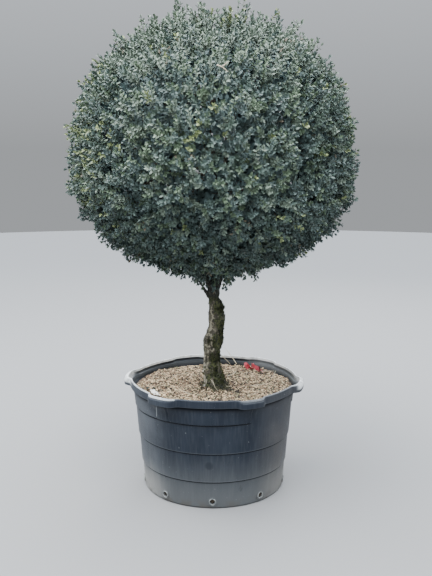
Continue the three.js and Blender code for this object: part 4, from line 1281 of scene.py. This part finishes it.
def leaf_mesh(place, axis, upper, size):
    """Points and faces of leaves of four faces, folded along the middle."""
    upper = unit(upper - axis * np.sum(upper * axis, -1, keepdims=True))
    long = (LEAF_LENGTH * size)[:, None]
    axes = axis * long, np.cross(upper, axis) * long, upper * long
    return set_out(place, axes, LEAF_SHAPE), repeated(LEAF_FACES, len(place), len(LEAF_SHAPE))


def deal_tones(tufts, tips, leaf_count):
    """A tone for each leaf: by tuft or by shoot, young at a few shoots' tips and bronze on some leaves; the
    deep tone as painted shade in the hollows, underneath and low on the right, and the grey tone as painted
    sheen on top.
    """
    by_tuft = rng.choice(len(TONE_SHARES), tufts.max() + 1, p=TONE_SHARES)
    own = rng.choice(len(TONE_SHARES), len(tufts), p=TONE_SHARES)
    tones = np.where(rng.random(len(tufts)) < 0.35, by_tuft[tufts], own)
    outward = unit(tips - CROWN_CENTRE)
    young = (noise(tips, 0.05, 31) > 0.66) & (rng.random(len(tips)) < 0.6)
    upper_left = smoothstep(-outward[:, 0], 0.45, 0.95) * smoothstep(outward[:, 2], -0.35, 0.25)
    young |= rng.random(len(tips)) < 0.22 * upper_left
    young |= (tufts >= TUFT_COUNT) & (outward[:, 2] > 0) & (rng.random(len(tips)) < 0.6)
    for px, py, reach in YOUNG_SPRAYS:
        young |= length(tips - CROWN_CENTRE - on_crown(px, py)) < reach
    # Painted shade: shoots in hollows, underneath and low on the right get the deep tone.
    shaded = hollows(outward) / SHADED_FROM + 0.52 * smoothstep(-outward[:, 2], -0.05, 0.6)
    shaded += 0.30 * smoothstep(outward[:, 0], 0.35, 0.9) * smoothstep(-outward[:, 2], -0.25, 0.3)
    tones[rng.random(len(tips)) < shaded] = DEEP
    # Painted sheen: shoots on top get the pale grey tone, for the sky's sheen on them.
    tones[rng.random(len(tips)) < 0.75 * smoothstep(outward[:, 2], 0.45, 0.9)] = GREY
    tones = np.repeat(tones[:, None], leaf_count, axis=1)
    tones[young, YOUNG_FROM:] = YOUNG
    dull = 0.10 * (noise(tips, 0.09, 33) > 0.62)[:, None]
    tones[rng.random(tones.shape) < dull] = BRONZE
    return tones


def make_crown():
    limbs, branchlets = skeleton()
    starts, ways = along(branchlets, (0.55, 0.8, 1))
    tips, tip_ways, tufts = shoot_ends()
    shoots = grow(tips, tip_ways, starts, ways, 3, 0.3)
    wood = speckled("twig_bark", 0.85, (0.05, 0.042, 0.03), (0.15, 0.125, 0.09), 90, 4)
    green = Paint("shoot_bark", (0.045, 0.052, 0.026), 0.7).material
    for name, paths, thick, thin, sides, bark in (
        ("limbs", limbs, 0.0068, 0.0034, 8, wood),
        ("branchlets", branchlets, 0.0030, 0.0015, 4, wood),
        ("shoots", shoots, 0.0014, 0.0008, 3, green),
    ):
        radii = np.linspace(thick, thin, paths.shape[1])
        finished(mesh_object(name, *tubes(paths, radii, sides)), bark, "bark", "crown")
    leaves = leaf_frames(shoots, LEAF_PAIR_COUNT, 0.30, 2)
    tones = deal_tones(tufts, tips, leaves[0].shape[1])
    for i, tone in enumerate(LEAF_TONES):
        make_leaves(tone, [part[tones == i] for part in leaves])
    # Inner leaves on the branchlets, painted paler as light in the gaps.
    make_leaves(INNER_TONE, leaf_frames(branchlets, INNER_PAIR_COUNT, 0.2, 1), 1.9)
    make_dead_twig()


def make_leaves(tone, leaves, growth=1.0):
    name, colour, roughness = tone
    *frames, size = leaves
    frames = [part.reshape(-1, 3) for part in frames]
    made = mesh_object(name, *leaf_mesh(*frames, size.ravel() * growth))
    finished(made, Paint(name, colour, roughness).material, "foliage", "crown")


def make_dead_twig():
    """A bare forked twig that lies caught among the leaves near the top."""
    foot, tip = (on_crown(*pixel) for pixel in DEAD_TWIG)
    t = np.linspace(0, 1, 8)[:, None]
    stem = CROWN_CENTRE + foot + (tip - foot) * t + unit(foot) * (0.016 + 0.006 * np.sin(np.pi * t))
    side = stem[3] + (unit(foot) * 0.008 + (0.024, 0, 0.014)) * t
    pale = speckled("dead_twig", 0.8, (0.30, 0.25, 0.18), (0.52, 0.46, 0.35), 160, 3)
    twig = tubes(np.stack([stem, side]), np.linspace(0.0026, 0.0013, 8), 6)
    finished(mesh_object("dead_twig", *twig), pale, "bark")


# Stage


def make_stage():
    camera = added("camera", bpy.data.cameras.new("camera"))
    camera.location = EYE
    camera.rotation_euler = (math.radians(90) - PITCH, 0, 0)
    camera.data.lens = LENS_LENGTH
    camera.data.clip_end = 100
    bpy.context.scene.camera = camera

    ring = polar(FLOOR_RADIUS, circle(FLOOR_SIDES), FLOOR_HEIGHT)
    floor = mesh_object("floor", ring, np.arange(len(ring))[None], smooth=False)
    floor.data.materials.append(Paint("floor", (0.20, 0.20, 0.198), 0.95).material)

    world = bpy.data.worlds.new("soft_sky")
    bpy.context.scene.world = world
    world.use_nodes = True
    tree = world.node_tree
    place = tree.nodes.new("ShaderNodeTexCoord")
    split = tree.nodes.new("ShaderNodeSeparateXYZ")
    tree.links.new(place.outputs["Generated"], split.inputs[0])
    ramp = tree.nodes.new("ShaderNodeValToRGB")
    tree.links.new(split.outputs[2], ramp.inputs[0])
    ramp.color_ramp.elements.new(SKY_MIDDLE)
    for stop, colour in zip(ramp.color_ramp.elements, SKY_COLOURS):
        stop.color = (*colour, 1)
    tree.links.new(ramp.outputs[0], tree.nodes["Background"].inputs[0])

    for name, place, size, power, colour in LIGHTS:
        light = added(name, bpy.data.lights.new(name, "AREA"))
        light.data.shape, light.data.size = "DISK", size
        light.data.energy, light.data.color = power, colour
        light.location = place
        x, y, z = LIT_HEIGHT * UP - place
        light.rotation_euler = (0, math.pi - math.acos(z / math.hypot(x, y, z)), math.atan2(y, x) + math.pi)


make_stage()
make_tub()
make_mix()
make_chips()
make_litter()
make_trunk()
make_boughs()
make_crown()
